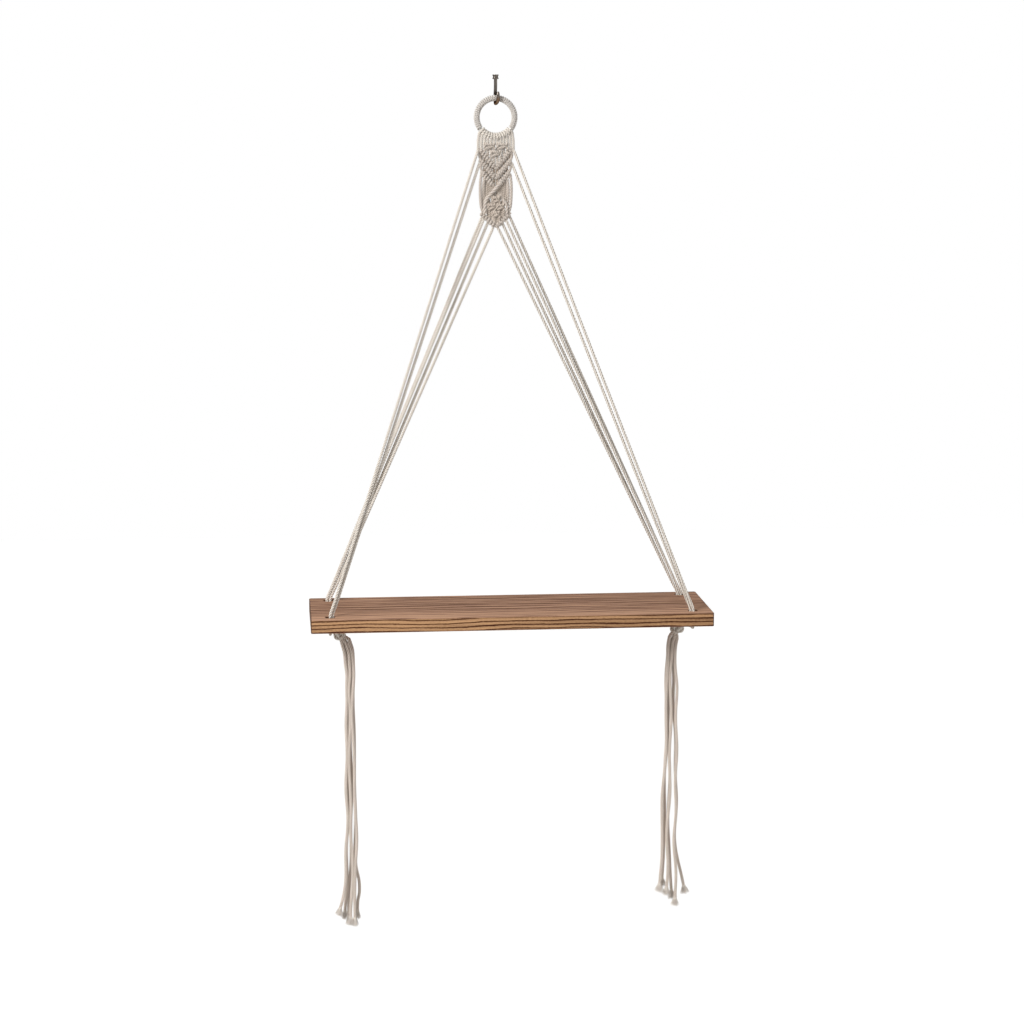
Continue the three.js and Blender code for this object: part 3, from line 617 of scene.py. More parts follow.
# Where the front and the back cord pass in a half knot, as shares of its half width, of its
# depth and of half its height.
front_shares = [(0.55, -0.85, -0.4), (0, -1.08, 0), (-0.55, -0.85, 0.4), (-0.86, -0.1, 1)]
back_shares = [
    (-1, -0.75, -0.45), (-0.98, 0.15, 0.35), (-0.55, 0.8, 0.2),
    (0.55, 0.8, -0.2), (0.98, 0.15, -0.1), (1, -0.75, 0.45),
]


def knotting_pair(middle, drops, half, top, foot):
    """The two outer cords of two half knots, from their top to the foot below each place."""
    rise = (drops[1] - drops[0]) / 2
    front = [(-half, 0, top), (-half, -strand_radius / 2, drops[0] - rise)]
    back = [(half, 0, top)]
    for side, drop in zip((-1, 1), drops):
        for cord, shares in ((front, front_shares), (back, back_shares)):
            cord += [
                (side * half * across, turn_depth * behind, drop + rise * down)
                for across, behind, down in shares
            ]
    front.append((-half, 0, foot(middle - half)))
    back.append((half, 0, foot(middle + half)))
    return [
        smooth_route([in_panel(middle + x, z, y) for x, y, z in cord], panel_step)
        for cord in (front, back)
    ]


def core(middle, half, top, foot):
    """The two inner strands of a knot."""
    return [
        smooth_route([in_panel(across, top), in_panel(across, foot(across))], panel_step)
        for across in (middle - half, middle + half)
    ]


# The same cotton, drawn tight in the knots: the hollows are closer, and the shade painted in them is
# darker.
knotted_cotton = cotton("Natural cotton cord drawn tight", "#d3c9be", "#705a47")


def in_first_row(across):
    """How far down a strand reaches that goes into the first row."""
    return seat(rows[0], across)


def under_pair(across):
    """How far down a strand of the upper knots reaches: into the centre knot or the first row."""
    inner_reach = turn_half_width + strand_radius
    return pair_foot + overlap if abs(across) < inner_reach else in_first_row(across)


for word, middle, drops, top, core_top, foot in (
    ("left", -2 * strand_pitch, upper_turns, bend_drop + overlap, first_turn, under_pair),
    ("right", 2 * strand_pitch, upper_turns, bend_drop + overlap, first_turn, under_pair),
    ("centre", 0, lower_turns, pair_foot, pair_foot, in_first_row),
):
    routes = knotting_pair(middle, drops, turn_half_width, top, foot)
    routes += core(middle, strand_pitch / 2, core_top, foot)
    name = f"square_knot_{word}"
    knot = cord_piece(f"{name}_cords", routes, loose_diameter, knotted_cotton, lay=knot_lay)
    placed(knot, "knotted_cotton", "hanger", name)

# Rows of hitches.
# Every strand is tied twice round a leading cord that slopes from the panel's side to its
# middle. Two loops side by side make one hitch.

# The cotton of the rows is a little darker than the rest. Behind the rows the strands are painted
# darker still, as the shade that lies there.
row_cotton = cotton("Natural cotton cord in hitches", "#d3c9bf", "#86715f")
shaded_cotton = cotton("Cotton cord behind the hitches, painted in shade", "#b9a896", "#54402f")

hitch_cord = 3
hitch_width = 6.5
hitch_depth = 5.8
hitch_lay = 6
hitch_spread_share = 1.04
pairing_share = 0.055
leader_inset = 1.5
leader_bow = 0.9
tied_reach = 15
loop_steps = 18
# How far from the panel's middle the hitches of each row end.
row_gaps = (0.4, 0.4, 2.6)
closing_gap = 0.4


def hitch_row(side, row, end, above=None):
    """The loops of a half row and its leading cord, which comes from the row above."""
    _, reach, slope = row
    length = (reach - end) / math.cos(slope)
    hitches = round(length / (2 * hitch_cord * hitch_spread_share))
    top = in_panel(side * reach, mid_drop(row, reach))
    inward = Vector((-side * math.cos(slope), 0, -math.sin(slope)))
    upward = Vector((-side * math.sin(slope), 0, math.cos(slope)))
    loops = []
    total = 2 * hitches * loop_steps
    for step in range(total + 1):
        loop = step / loop_steps
        angle = 2 * math.pi * loop - side * math.pi / 2
        paired = loop - pairing_share * math.sin(math.pi * loop) * math.cos(math.pi * loop)
        edge = min(1, step / (loop_steps / 3), (total - step) / (loop_steps / 3))
        reach_up = (hitch_width - hitch_cord) / 2 * edge
        reach_back = (hitch_depth - hitch_cord) / 2 * edge
        place = top + inward * (length * paired / (2 * hitches))
        place += upward * reach_up * math.cos(angle)
        place.y += side * reach_back * math.sin(angle)
        loops.append(place)
    leader = [top + inward * (length * share) for share in (0.12, 0.98)]
    if above:
        origin = above[1] - leader_inset
        source = in_panel(side * origin, mid_drop(above, origin))
        leader = [source, source.lerp(top, 0.55) + Vector((side * leader_bow, 0, 0)), *leader]
    return [loops, smooth_route(leader, panel_step)]


tied_closing_row = (closing_row[0], tied_reach, closing_row[2])
for side, word in ((-1, "left"), (1, "right")):
    above = None
    for number, (row, gap) in enumerate(zip(rows, row_gaps), start=1):
        routes = hitch_row(side, row, gap, above)
        piece = cord_piece(f"hitches_{number}_{word}", routes, hitch_cord, row_cotton, lay=hitch_lay)
        placed(piece, "cotton_rope", "hanger", f"hitch_row_{number}_{word}")
        above = row
    routes = hitch_row(side, tied_closing_row, closing_gap)
    piece = cord_piece(f"closing_hitches_{word}", routes, hitch_cord, row_cotton, lay=hitch_lay)
    placed(piece, "cotton_rope", "hanger", f"closing_row_{word}")

# Ten strands run down behind the rows. The outermost two end at the second row.
behind = 1.7
hidden_cord = 3.4
routes = []
for place in range(-5, 5):
    across = (place + 0.5) * strand_pitch
    ends = (rows[0], rows[1] if place in (-5, 4) else rows[-1])
    strand = [in_panel(across, mid_drop(row, across), behind) for row in ends]
    routes.append(smooth_route(strand, panel_step))
# These strands are painted darker, as shade.
piece = cord_piece("strands_behind_rows", routes, hidden_cord, shaded_cotton, lay=knot_lay)
placed(piece, "knotted_cotton", "hanger")

# Diamond.
# The leading cords of the third row cross and run down both sides of four square knots, which
# touch one another. Two loose strands hang outside each leading cord, one of them behind it.

diamond_half = 11.9
diamond_cord = 3.4
diamond_drops = (82.2, 89.6, 97)
diamond_turn = 3.5
diamond_pitch = 3.2
diamond_gap = 1.1
fan_depth = 6
fan_front = 0.6
side_reach = 15.1
side_inset = 1.6
cross_offset = (knotted_diameter + clearance) / 2
leader_start = 5.5
leader_lay = 13

# Where each leading cord passes: its distance across and below the crossing, and how far back
# as a share of its offset. The one in front comes from the right.
for side, leader_cord, name, places in (
    (1, 4.2, "crossing_front", [
        (2.5, -3, -0.6), (0, 0, -1), (-3.2, 3.5, -1), (-6.4, 7, -0.8), (-9.2, 10.6, -0.8),
        (-10.9, 15, -1), (-11.3, 20, -1), (-11.2, 26, -1),
    ]),
    (-1, 3.3, "crossing_back", [
        (2.5, -3, 0.6), (0, 0, 1), (-2.4, 4.6, 1), (-5.4, 8.9, 0.4), (-9, 13.5, -0.6),
        (-11.2, 18, -1), (-11.4, 22, -1), (-11.2, 26, -1),
    ]),
):
    route = [in_panel(side * leader_start, mid_drop(rows[-1], leader_start))]
    for across, below, back in places:
        route.append(in_panel(side * across, last_row_drop + below, back * cross_offset))
    route = smooth_route(route, panel_step)
    piece = cord_piece(f"{name}_cord", [route], leader_cord, row_cotton, lay=leader_lay)
    placed(piece, "cotton_rope", "hanger", name)

# Four strands fan out from behind the third row into each of the upper three knots, and those
# of the lower three go on into the closing row. Packed as tight as this, the cotton lies in
# shade, which is painted darker into its colour.
shaded_packed_cotton = cotton("Natural cotton cord packed in knots, painted in shade", "#cec1b4", "#66503d")


def in_closing_row(across):
    """How far down a strand reaches that goes into the closing row."""
    return seat(closing_row, across)


routes = []
beside = diamond_turn + diamond_gap
core_half = 0.45 * diamond_cord
first_foot = diamond_drops[0] + 2 * diamond_pitch
for middle, drop, foot, fan_share in (
    (0, diamond_drops[0], lambda across: first_foot, 1.75),
    (-beside, diamond_drops[1], in_closing_row, 1.4),
    (beside, diamond_drops[1], in_closing_row, 1.4),
    (0, diamond_drops[2], in_closing_row, None),
):
    top = drop - diamond_cord / 2
    routes += knotting_pair(middle, (drop, drop + diamond_pitch), diamond_turn, top, foot)
    routes += core(middle, core_half, top, foot)
    if not fan_share:
        continue
    for apart in (-diamond_turn, -core_half, core_half, diamond_turn):
        across = (middle + apart) * fan_share
        strand = [
            in_panel(across, mid_drop(rows[-1], across), behind),
            in_panel(across, last_row_drop + fan_depth, behind),
            in_panel(middle + apart, top + overlap, fan_front),
        ]
        routes.append(smooth_route(strand, panel_step))
piece = cord_piece("diamond_knots_cords", routes, diamond_cord, shaded_packed_cotton, lay=knot_lay)
placed(piece, "knotted_cotton", "hanger", "diamond_knots")

# The loose strands bow out a little between the third row and the closing row.
for side, word in ((-1, "left"), (1, "right")):
    for column, across, back in ((1, diamond_half, cross_offset), (2, side_reach, 0)):
        top = mid_drop(rows[-1], across) + row_width / 2 / slope_cos - tuck
        end = min(across, tied_reach - side_inset)
        foot = seat(closing_row, end)
        bow = across + 3 * clearance
        stations = [
            (across - clearance, 0, 0),
            (bow, 0.25, back / 3),
            (bow, 0.6, back),
            (across, 0.85, back),
            (end, 1, back),
        ]
        route = smooth_route(
            [in_panel(side * x, top + (foot - top) * share, y) for x, share, y in stations],
            panel_step,
        )
        name = f"side_strand_{column}_{word}"
        piece = cord_piece(f"{name}_cord", [route], loose_diameter, row_cotton)
        placed(piece, "cotton_rope", "hanger", name)

# Board.
# One solid pine board, lightly scorched, brushed along the grain and waxed. Its edges are eased
# by hand, and a hole is drilled near each corner for three cords.

board_length = 420
board_width = 120
board_thickness = 14.5
board_drop = 511
board_shift = 13.5
edge_round = 0.9
corner_round = 2
hole_diameter = 10
hole_end_inset = 20
hole_side_inset = 15
hole_x = board_length / 2 - hole_end_inset
hole_y = board_width / 2 - hole_side_inset
board_top = ring_centre - board_drop
board_bottom = board_top - board_thickness
board_middle = (board_top + board_bottom) / 2


def loop_spline(curve, corners):
    """Adds a closed line through corners in millimetres."""
    line = curve.splines.new("POLY")
    line.points.add(len(corners) - 1)
    line.use_cyclic_u = True
    for point, (x, y) in zip(line.points, corners):
        point.co = (x * METRES, y * METRES, 0, 1)


plan = bpy.data.curves.new("board_plan", "CURVE")
plan.dimensions = "2D"
plan.fill_mode = "BOTH"
plan.extrude = (board_thickness / 2 - edge_round) * METRES
plan.bevel_depth = edge_round * METRES
plan.bevel_resolution = 4
half_x = board_length / 2 - edge_round
half_y = board_width / 2 - edge_round
round_inside = corner_round - edge_round
corners = []
for x, y, first in ((1, -1, -90), (1, 1, 0), (-1, 1, 90), (-1, -1, 180)):
    centre_x = x * (half_x - round_inside)
    centre_y = y * (half_y - round_inside)
    corners += arc(centre_x, centre_y, round_inside, first, first + 90, 6)
loop_spline(plan, corners)
for x in (-hole_x, hole_x):
    for y in (-hole_y, hole_y):
        loop_spline(plan, arc(x, y, hole_diameter / 2 + edge_round, 360, 7.5, 47))
board = meshed("board_planed", plan)
for corner in board.data.vertices:
    corner.co += Vector((board_shift, 0, board_middle)) * METRES

# Scorched and brushed pine: grey-brown with fine dark streaks on its faces, where brushing has
# worn the soft early wood, and golden with dark late-wood lines on its planed edges.
scorched_pine, shader = new_material(
    "Brushed and scorched pine", Roughness=0.8, Specular_IOR_Level=0.2
)
tree = scorched_pine.node_tree
place = add_node(tree, "ShaderNodeTexCoord").outputs["Object"]
grain_place = add_node(
    tree, "ShaderNodeVectorMath", {0: place, "Scale": 1 / METRES}, operation="SCALE"
)
# Noise drawn out along the grain, by its scales along and across it and its detail: fine streaks
# about 0.8 mm wide and 60 mm long, broad ones about 5 mm wide, the slow wandering and the short
# ripples of the growth rings, and the speckles of open fibres about 3 mm long.
patterns = []
for lengthwise, crosswise, detail in (
    (0.016, 1.2, 4), (0.006, 0.2, 2), (0.007, 0.03, 2), (0.06, 0.3, 2), (0.35, 1.4, 3),
):
    scales = {0: grain_place, "Scale": (lengthwise, crosswise, crosswise)}
    drawn_out = add_node(tree, "ShaderNodeMapping", scales)
    patterns.append(add_node(tree, "ShaderNodeTexNoise", {0: drawn_out, "Scale": 1, "Detail": detail}))
fine, broad, wander, ripple, speckle = patterns
along, across, depth = add_node(tree, "ShaderNodeSeparateXYZ", {0: grain_place}).outputs
inside = add_node(tree, "ShaderNodeMath", {0: depth, 1: board_middle}, operation="SUBTRACT")
inside = add_node(tree, "ShaderNodeMath", {0: inside}, operation="ABSOLUTE")
on_face = add_node(
    tree,
    "ShaderNodeMapRange",
    {
        "Value": inside,
        "From Min": board_thickness / 2 - edge_round,
        "From Max": board_thickness / 2 - edge_round / 3,
    },
)
# The growth rings lie almost flat in the board, about 4 mm apart, and wander by up to two rings.
# On the faces they come out about 9 mm apart.
ring_spacing = 4.1
ring_wander = 9
ring_ripple = 1.4
flat = add_node(tree, "ShaderNodeMath", {0: across, 1: 0.45}, operation="MULTIPLY")
level = add_node(tree, "ShaderNodeMix", {0: on_face, 2: depth, 3: flat})
drawn = add_node(
    tree, "ShaderNodeMath", {0: wander, 1: ring_wander, 2: level}, operation="MULTIPLY_ADD"
)
drawn = add_node(
    tree, "ShaderNodeMath", {0: ripple, 1: ring_ripple, 2: drawn}, operation="MULTIPLY_ADD"
)
ring = add_node(tree, "ShaderNodeMath", {0: drawn, 1: ring_spacing}, operation="DIVIDE")
ring = add_node(tree, "ShaderNodeMath", {0: ring}, operation="FRACT")
late_wood = add_node(tree, "ShaderNodeValToRGB", {0: ring})
steps = late_wood.color_ramp.elements
steps[0].position, steps[0].color = 0.0, (0, 0, 0, 1)
steps[1].position, steps[1].color = 1.0, (0, 0, 0, 1)
for position, share in ((0.58, 0.12), (0.78, 1), (0.92, 0.95)):
    steps.new(position).color = (share, share, share, 1)
# The planed edge is speckled by open fibres, and its arrises are scorched.
edge_tone = add_node(tree, "ShaderNodeMath", {0: fine, 1: 0.9, 2: -0.8}, operation="MULTIPLY_ADD")
edge_tone = add_node(
    tree, "ShaderNodeMath", {0: speckle, 1: 0.9, 2: edge_tone}, operation="MULTIPLY_ADD"
)
arris = add_node(
    tree,
    "ShaderNodeMapRange",
    {
        "Value": inside,
        "From Min": board_thickness / 2 - edge_round - 0.6,
        "From Max": board_thickness / 2 - edge_round + 0.2,
        "To Max": 0.7,
    },
)
edge_tone = add_node(tree, "ShaderNodeMath", {0: edge_tone, 1: arris}, operation="ADD")
smoke = add_node(tree, "ShaderNodeMath", {0: broad, 1: 0.9, 2: -0.45}, operation="MULTIPLY_ADD")
edge_tone = add_node(tree, "ShaderNodeMath", {0: edge_tone, 1: smoke}, operation="ADD")
# The edge grows darker towards the right end.
right_darkening = add_node(
    tree, "ShaderNodeMapRange", {"Value": along, "From Min": 60, "From Max": 190, "To Max": 0.15}
)
edge_tone = add_node(tree, "ShaderNodeMath", {0: edge_tone, 1: right_darkening}, operation="ADD")
edge_tone = add_node(
    tree, "ShaderNodeMath", {0: late_wood, 1: edge_tone}, operation="ADD", use_clamp=True
)
edge_colours = {0: edge_tone, 6: linear("#c6996f"), 7: linear("#3c1604")}
edge_colour = add_node(tree, "ShaderNodeMix", edge_colours, data_type="RGBA").outputs[2]
# The streaks on the faces, where the late wood shows through, and the faces grow paler towards
# the front edge.
paler_front = add_node(
    tree, "ShaderNodeMapRange", {"Value": across, "From Min": -22, "From Max": -50, "To Max": 0.3}
)
face_tone = add_node(
    tree, "ShaderNodeMath", {0: broad, 1: 1, 2: paler_front}, operation="MULTIPLY_ADD"
)
face_tone = add_node(
    tree, "ShaderNodeMath", {0: fine, 1: 1.6, 2: face_tone}, operation="MULTIPLY_ADD"
)
streak_ring = add_node(tree, "ShaderNodeMath", {0: late_wood, 1: -0.4}, operation="MULTIPLY")
face_tone = add_node(tree, "ShaderNodeMath", {0: face_tone, 1: streak_ring}, operation="ADD")
face_tone = add_node(
    tree, "ShaderNodeMapRange", {"Value": face_tone, "From Min": 0.86, "From Max": 1.5}
)
face_colours = {0: face_tone, 6: linear("#4b2813"), 7: linear("#c2977a")}
face_colour = add_node(tree, "ShaderNodeMix", face_colours, data_type="RGBA").outputs[2]
colours = {0: on_face, 6: edge_colour, 7: face_colour}
colour = add_node(tree, "ShaderNodeMix", colours, data_type="RGBA").outputs[2]
# The sawn ends are much darker.
from_middle = add_node(tree, "ShaderNodeMath", {0: along, 1: board_shift}, operation="SUBTRACT")
from_middle = add_node(tree, "ShaderNodeMath", {0: from_middle}, operation="ABSOLUTE")
at_end = add_node(
    tree,
    "ShaderNodeMapRange",
    {
        "Value": from_middle,
        "From Min": board_length / 2 - edge_round * 1.5,
        "From Max": board_length / 2 - edge_round / 2,
        "To Max": 0.75,
    },
)
colours = {0: at_end, 6: colour, 7: linear("#3a2216")}
colour = add_node(tree, "ShaderNodeMix", colours, data_type="RGBA").outputs[2]
tree.links.new(colour, shader.inputs["Base Color"])
worn = add_node(tree, "ShaderNodeMath", {0: late_wood, 1: 0.5, 2: fine}, operation="MULTIPLY_ADD")
relief = add_node(
    tree, "ShaderNodeBump", {"Height": worn, "Strength": 0.6, "Distance": 0.25 * METRES}
)
tree.links.new(relief.outputs[0], shader.inputs["Normal"])
placed(board, "board_wood", "hanger", "board", material=scorched_pine)

# Ropes.
# Twelve cords leave the panel's rows and run taut to the board, three through each hole and
# six to each end. Under the board they turn towards the knot that holds them.

rope_diameter = 3.2
rope_radius = rope_diameter / 2
rope_pitch = rope_diameter + clearance
rope_step = 0.8
knot_inset = 31
knot_drop = 13.5
knot_x = board_length / 2 - knot_inset
knot_z = board_bottom - knot_drop
knot_rise = 2.3
knot_cord = 3.4
row_ends = [*rows, closing_row]
# How far from the panel's middle each rope leaves it, by side.
rope_starts = {-1: [18.4, 16.4, 14.4, 12.6, 8.2, 3], 1: [18.4, 16.4, 14.8, 10.8, 7.2, 2.4]}
# For each rope: the row it leaves and how far back, its hole's side of the board, its place in
# the hole inboard and back, and whether it lies below the others under the board.
rope_table = [
    (0, -2, -1, 0.3, -1.2, 1),
    (1, 0.5, -1, 3, 1.2, 0),
    (3, 1.9, 1, -1, 1.75, 1),
    (3, -1.6, 1, -1, -1.75, 0),
    (3, 1.6, 1, 2.5, 1.75, 1),
    (3, -1.4, 1, 2.5, -1.75, 0),
]


def route_length(route):
    """The length of a route."""
    return sum((far - near).length for near, far in zip(route, route[1:]))


def rope_stations(side, index):
    """The places that a rope passes, from the panel to its knot."""
    row, start_back, hole, inboard, back, level = rope_table[index]
    across = rope_starts[side][index]
    slope = row_ends[row][2]
    row_edge = mid_drop(row_ends[row], across) + row_width / 2 / math.cos(slope)
    slot = Vector((board_shift + side * (hole_x - inboard), hole * hole_y + back, board_top))
    edge = in_panel(side * across, row_edge, start_back)
    lean = math.atan2(abs(slot.x - edge.x), edge.z - slot.z)
    off = clearance + rope_radius * math.sin(slope - lean)
    start = edge + Vector((side * math.sin(slope), 0, -math.cos(slope))) * off
    rim_gap = rope_radius + clearance
    above = slot + Vector((0, 0, rim_gap))
    turn_z = board_bottom - rim_gap - level * rope_radius
    rim_y = hole * (hole_y - hole_diameter / 2)
    toward = -1 if inboard < 1 else 1
    end_x = board_shift + side * (knot_x - toward * rope_pitch / 2)
    end_y = hole * (knot_rise + knot_cord / 2 + clearance + rope_radius / 4)
    end_z = knot_z + (0.5 - level) * rope_pitch + knot_cord / 3
    end = Vector((end_x, end_y, end_z))
    flat_z = turn_z - rope_radius * 0.3
    run = [start.lerp(above, share) for share in (0.03, 0.25, 0.5, 0.75, 0.97)]
    return [
        start + (start - above).normalized() * rim_gap,
        *run,
        above,
        Vector((slot.x, slot.y, board_middle)),
        Vector((slot.x, slot.y, board_bottom - level * rope_pitch)),
        Vector((slot.x, slot.y - hole * rope_radius * 0.9, turn_z - rope_radius * 0.15)),
        Vector((slot.x, rim_y - hole * rope_radius * (1 + level / 2), flat_z)),
        Vector(
            near + (far - near) * share
            for near, far, share in zip((slot.x, rim_y, flat_z), end, (0.55, 0.6, 0.25))
        ),
        end,
    ]


for side, word in ((-1, "left"), (1, "right")):
    for index in range(6):
        route = smooth_route(rope_stations(side, index), rope_step)
        name = f"rope_{word}_{index + 1}"
        piece = cord_piece(f"{name}_cord", [route], rope_diameter, natural_cotton)
        placed(piece, "cotton_rope", "hanger", name)

# End knots.
# The six cords of each end are tied under the board in one overhand knot, which bears on the
# board between its two holes.

# A trefoil line, with one thick cord in place of the six that are drawn together in it. The right
# knot is looser and lies further out.
knot_ring_radius = 3.2
knot_lobe = 1.6
drawn_knot_cord = 4.6
knot_steps = 36
for side, word, spread, shift in ((-1, "left", 1, 0), (1, "right", 1.2, 1.5)):
    knot_place = Vector((board_shift + side * knot_x + shift, 0, knot_z))
    stations = []
    for step in range(knot_steps):
        angle = 2 * math.pi * step / knot_steps
        reach = knot_ring_radius + knot_lobe * math.cos(3 * angle)
        across = spread * reach * math.sin(2 * angle)
        place = Vector((across, knot_rise * math.sin(3 * angle), reach * math.cos(2 * angle)))
        stations.append(knot_place + place)
    route = smooth_route(stations, head_step, closed=True)
    whole = route_length([*route, route[0]])
    # The lay is set so that the three strands meet their own ends.
    lay = whole / (round(3 * whole / rope_lay) / 3)
    piece = cord_piece(
        f"end_knot_{word}_cord", [route], drawn_knot_cord, natural_cotton, lay=lay, closed=True
    )
    placed(piece, "cotton_rope", "hanger", f"end_knot_{word}")

# Tassels.
# Beyond its knot each cord hangs down free and ends where it was cut, with its three strands
# opened by wear into a soft brush of paler fibres.

# The cords of a tassel hang in two layers, the odd ones in front of its middle and the even ones
# behind it. Each passes its first six places at these drops below the knot, given for the first
# four cords and for the last two.
layer_depth = 1.9
upper_drops = {
    -1: ((13, 20, 29, 42, 58, 85), (10, 17, 28, 40, 58, 85)),
    1: ((14, 22, 32, 45, 62, 95), (12.5, 20, 31, 45, 62, 95)),
}
# For each cord: the angle at which it leaves its knot, how far it has come towards the board's
# middle at those drops, and its lower places, each by its way towards the board's middle, its
# distance in front of or behind the tassel's middle and its drop.
tassel_table = {
    -1: [
        (12, (3, 4.8, 5.6, 6.9, 6, 6.4), [
            (5.2, 2, 150), (5.6, 2.2, 200), (4.6, 2.4, 232), (3, 2.8, 262), (0.4, 3.2, 286),
            (-2.4, 3.6, 300),
        ]),
        (18, (4, 6.2, 7.2, 8.3, 7.2, 8), [
            (6.6, 2, 150), (6.8, 2.2, 200), (5.2, 2.6, 236), (4.2, 3, 270), (3, 3.6, 306),
        ]),
        (34, (7.2, 9, 9.6, 10.6, 9.6, 9.4), [
            (8.8, 2, 150), (9.4, 2.2, 200), (10.4, 2.4, 236), (10.2, 2.8, 270), (8.8, 3.4, 311),
        ]),
        (38, (8, 10, 11.2, 12, 11.2, 10.6), [
            (10.4, 2, 150), (10.6, 2.2, 200), (9.2, 2.6, 236), (7.8, 3, 270), (6.7, 3.4, 312),
        ]),
        (62, (10, 12.2, 13.2, 13.8, 13.4, 12.4), [
            (13.6, 2, 150), (15, 2.2, 190), (15.2, 2.4, 218), (14, 2.6, 246), (13.8, 2.8, 275),
            (12.6, 3.2, 312),
        ]),
        (62, (11.2, 13.2, 14.1, 14.5, 14.2, 13.2), [
            (14.8, 2, 150), (14.2, 2.2, 200), (13.8, 2.4, 236), (15.8, 2.6, 256),
            (18.4, 2.8, 270), (18.2, 3, 283), (16, 3.2, 293), (15, 3.4, 306),
        ]),
    ],
    1: [
        (-8, (-0.8, 0.2, 0.3, 0.1, -1, -1.4), [
            (-1.6, 2.1, 140), (-1.4, 2.4, 186), (-0.6, 2.8, 231), (-1.4, 3.2, 258),
            (-2.4, 3.6, 300),
        ]),
        (4, (0.6, 1.4, 2.1, 2.1, 1.2, 0.6), [
            (-1.6, 2.1, 140), (-2.6, 2.4, 186), (-2.4, 3.2, 231), (-5.2, 3.8, 258),
            (-12.8, 4.4, 289),
        ]),
        (10, (3.2, 4, 4.4, 5.2, 5.1, 4.9), [
            (5, 2.1, 140), (5.6, 2.4, 186), (7.4, 2.8, 231), (7.2, 3.4, 258), (7.4, 3.8, 288),
        ]),
        (10, (5, 5.8, 6.1, 6.9, 7.1, 6.9), [
            (5.4, 2.1, 140), (5, 2.4, 186), (5.2, 2.8, 231), (4, 3.2, 258), (0.2, 3.6, 294),
        ]),
        (36, (7.4, 8.4, 8.5, 9.3, 9.5, 9.3), [
            (10.2, 2, 140), (12.6, 2.2, 186), (13.6, 2.4, 231), (13.4, 2.8, 258),
            (14.6, 3.2, 284),
        ]),
        (36, (7.2, 8.2, 8.2, 9, 9.2, 8.9), [
            (9.2, 2, 140), (10, 2.2, 186), (10.4, 2.4, 231), (10, 2.8, 258), (11.4, 3.2, 280),
        ]),
    ],
}

# One cut end: fibres that spread from the three strands, each a slim bent blade.
tree, given = new_tree(
    "Frayed end",
    {
        "End": "Vector",
        "Heading": "Rotation",
        "Fibres": "Int",
        "Opening": "Float",
        "Seed": "Int",
        "Material": "Material",
    },
)
frayed_end = tree
strand_offset = rope_radius * 0.45
strand_spread = rope_radius * 0.5
fibre_length = 11
fibre_shortest = fibre_length * 0.75
# As shares of a fibre's length, its radius and how far its tip bends aside. The bend grows with a
# power of the way along.
fibre_radius_share = 0.016
fibre_bend_share = 0.14
fibre_bend_power = 2.2
# How much of its radius it loses towards its tip.
fibre_slimming = 0.7
fibre_line = add_node(tree, "GeometryNodeCurvePrimitiveLine", {"Start": (0, 0, 0), "End": (0, 0, 1)})
fibre_line = add_node(tree, "GeometryNodeResampleCurve", {0: fibre_line, "Count": 6})
share = add_node(tree, "GeometryNodeSplineParameter").outputs["Factor"]
bend = add_node(tree, "ShaderNodeMath", {0: share, 1: fibre_bend_power}, operation="POWER")
bend = add_node(tree, "ShaderNodeMath", {0: bend, 1: fibre_bend_share}, operation="MULTIPLY")
bend = add_node(tree, "ShaderNodeCombineXYZ", {0: bend})
fibre_line = add_node(tree, "GeometryNodeSetPosition", {0: fibre_line, "Offset": bend})
fibre_section = add_node(
    tree, "GeometryNodeCurvePrimitiveCircle", {"Resolution": 3, "Radius": fibre_radius_share}
)
slimming = add_node(
    tree, "ShaderNodeMath", {0: share, 1: -fibre_slimming, 2: 1}, operation="MULTIPLY_ADD"
)
fibre = add_node(
    tree, "GeometryNodeCurveToMesh", {0: fibre_line, 1: fibre_section, "Scale": slimming}
)
fibre = add_node(tree, "GeometryNodeStoreNamedAttribute", {0: fibre, "Name": "crown", "Value": 1})
starts = add_node(tree, "GeometryNodePoints", {"Count": given["Fibres"]})
index = add_node(tree, "GeometryNodeInputIndex")
strand = add_node(tree, "ShaderNodeMath", {0: index, 1: 3}, operation="MODULO")
strand_turn = add_node(tree, "ShaderNodeMath", {0: strand, 1: 2 * math.pi / 3}, operation="MULTIPLY")
around = add_node(
    tree, "FunctionNodeRandomValue", {2: 0, 3: 2 * math.pi, "Seed": given["Seed"]}
).outputs[1]
seed = add_node(tree, "ShaderNodeMath", {0: given["Seed"], 1: 1}, operation="ADD")
out = add_node(tree, "FunctionNodeRandomValue", {2: 0, 3: 1, "Seed": seed}).outputs[1]
out = add_node(tree, "ShaderNodeMath", {0: out}, operation="SQRT")
places = []
for angle, distance in ((strand_turn, strand_offset), (around, strand_spread)):
    cosine = add_node(tree, "ShaderNodeMath", {0: angle}, operation="COSINE")
    sine = add_node(tree, "ShaderNodeMath", {0: angle}, operation="SINE")
    spoke = add_node(tree, "ShaderNodeCombineXYZ", {0: cosine, 1: sine})
    places.append(
        add_node(tree, "ShaderNodeVectorMath", {0: spoke, "Scale": distance}, operation="SCALE")
    )
strand_place, fibre_place = places
fibre_place = add_node(
    tree, "ShaderNodeVectorMath", {0: fibre_place, "Scale": out}, operation="SCALE"
)
place = add_node(tree, "ShaderNodeVectorMath", {0: strand_place, 1: fibre_place}, operation="ADD")
starts = add_node(tree, "GeometryNodeSetPosition", {0: starts, "Position": place})
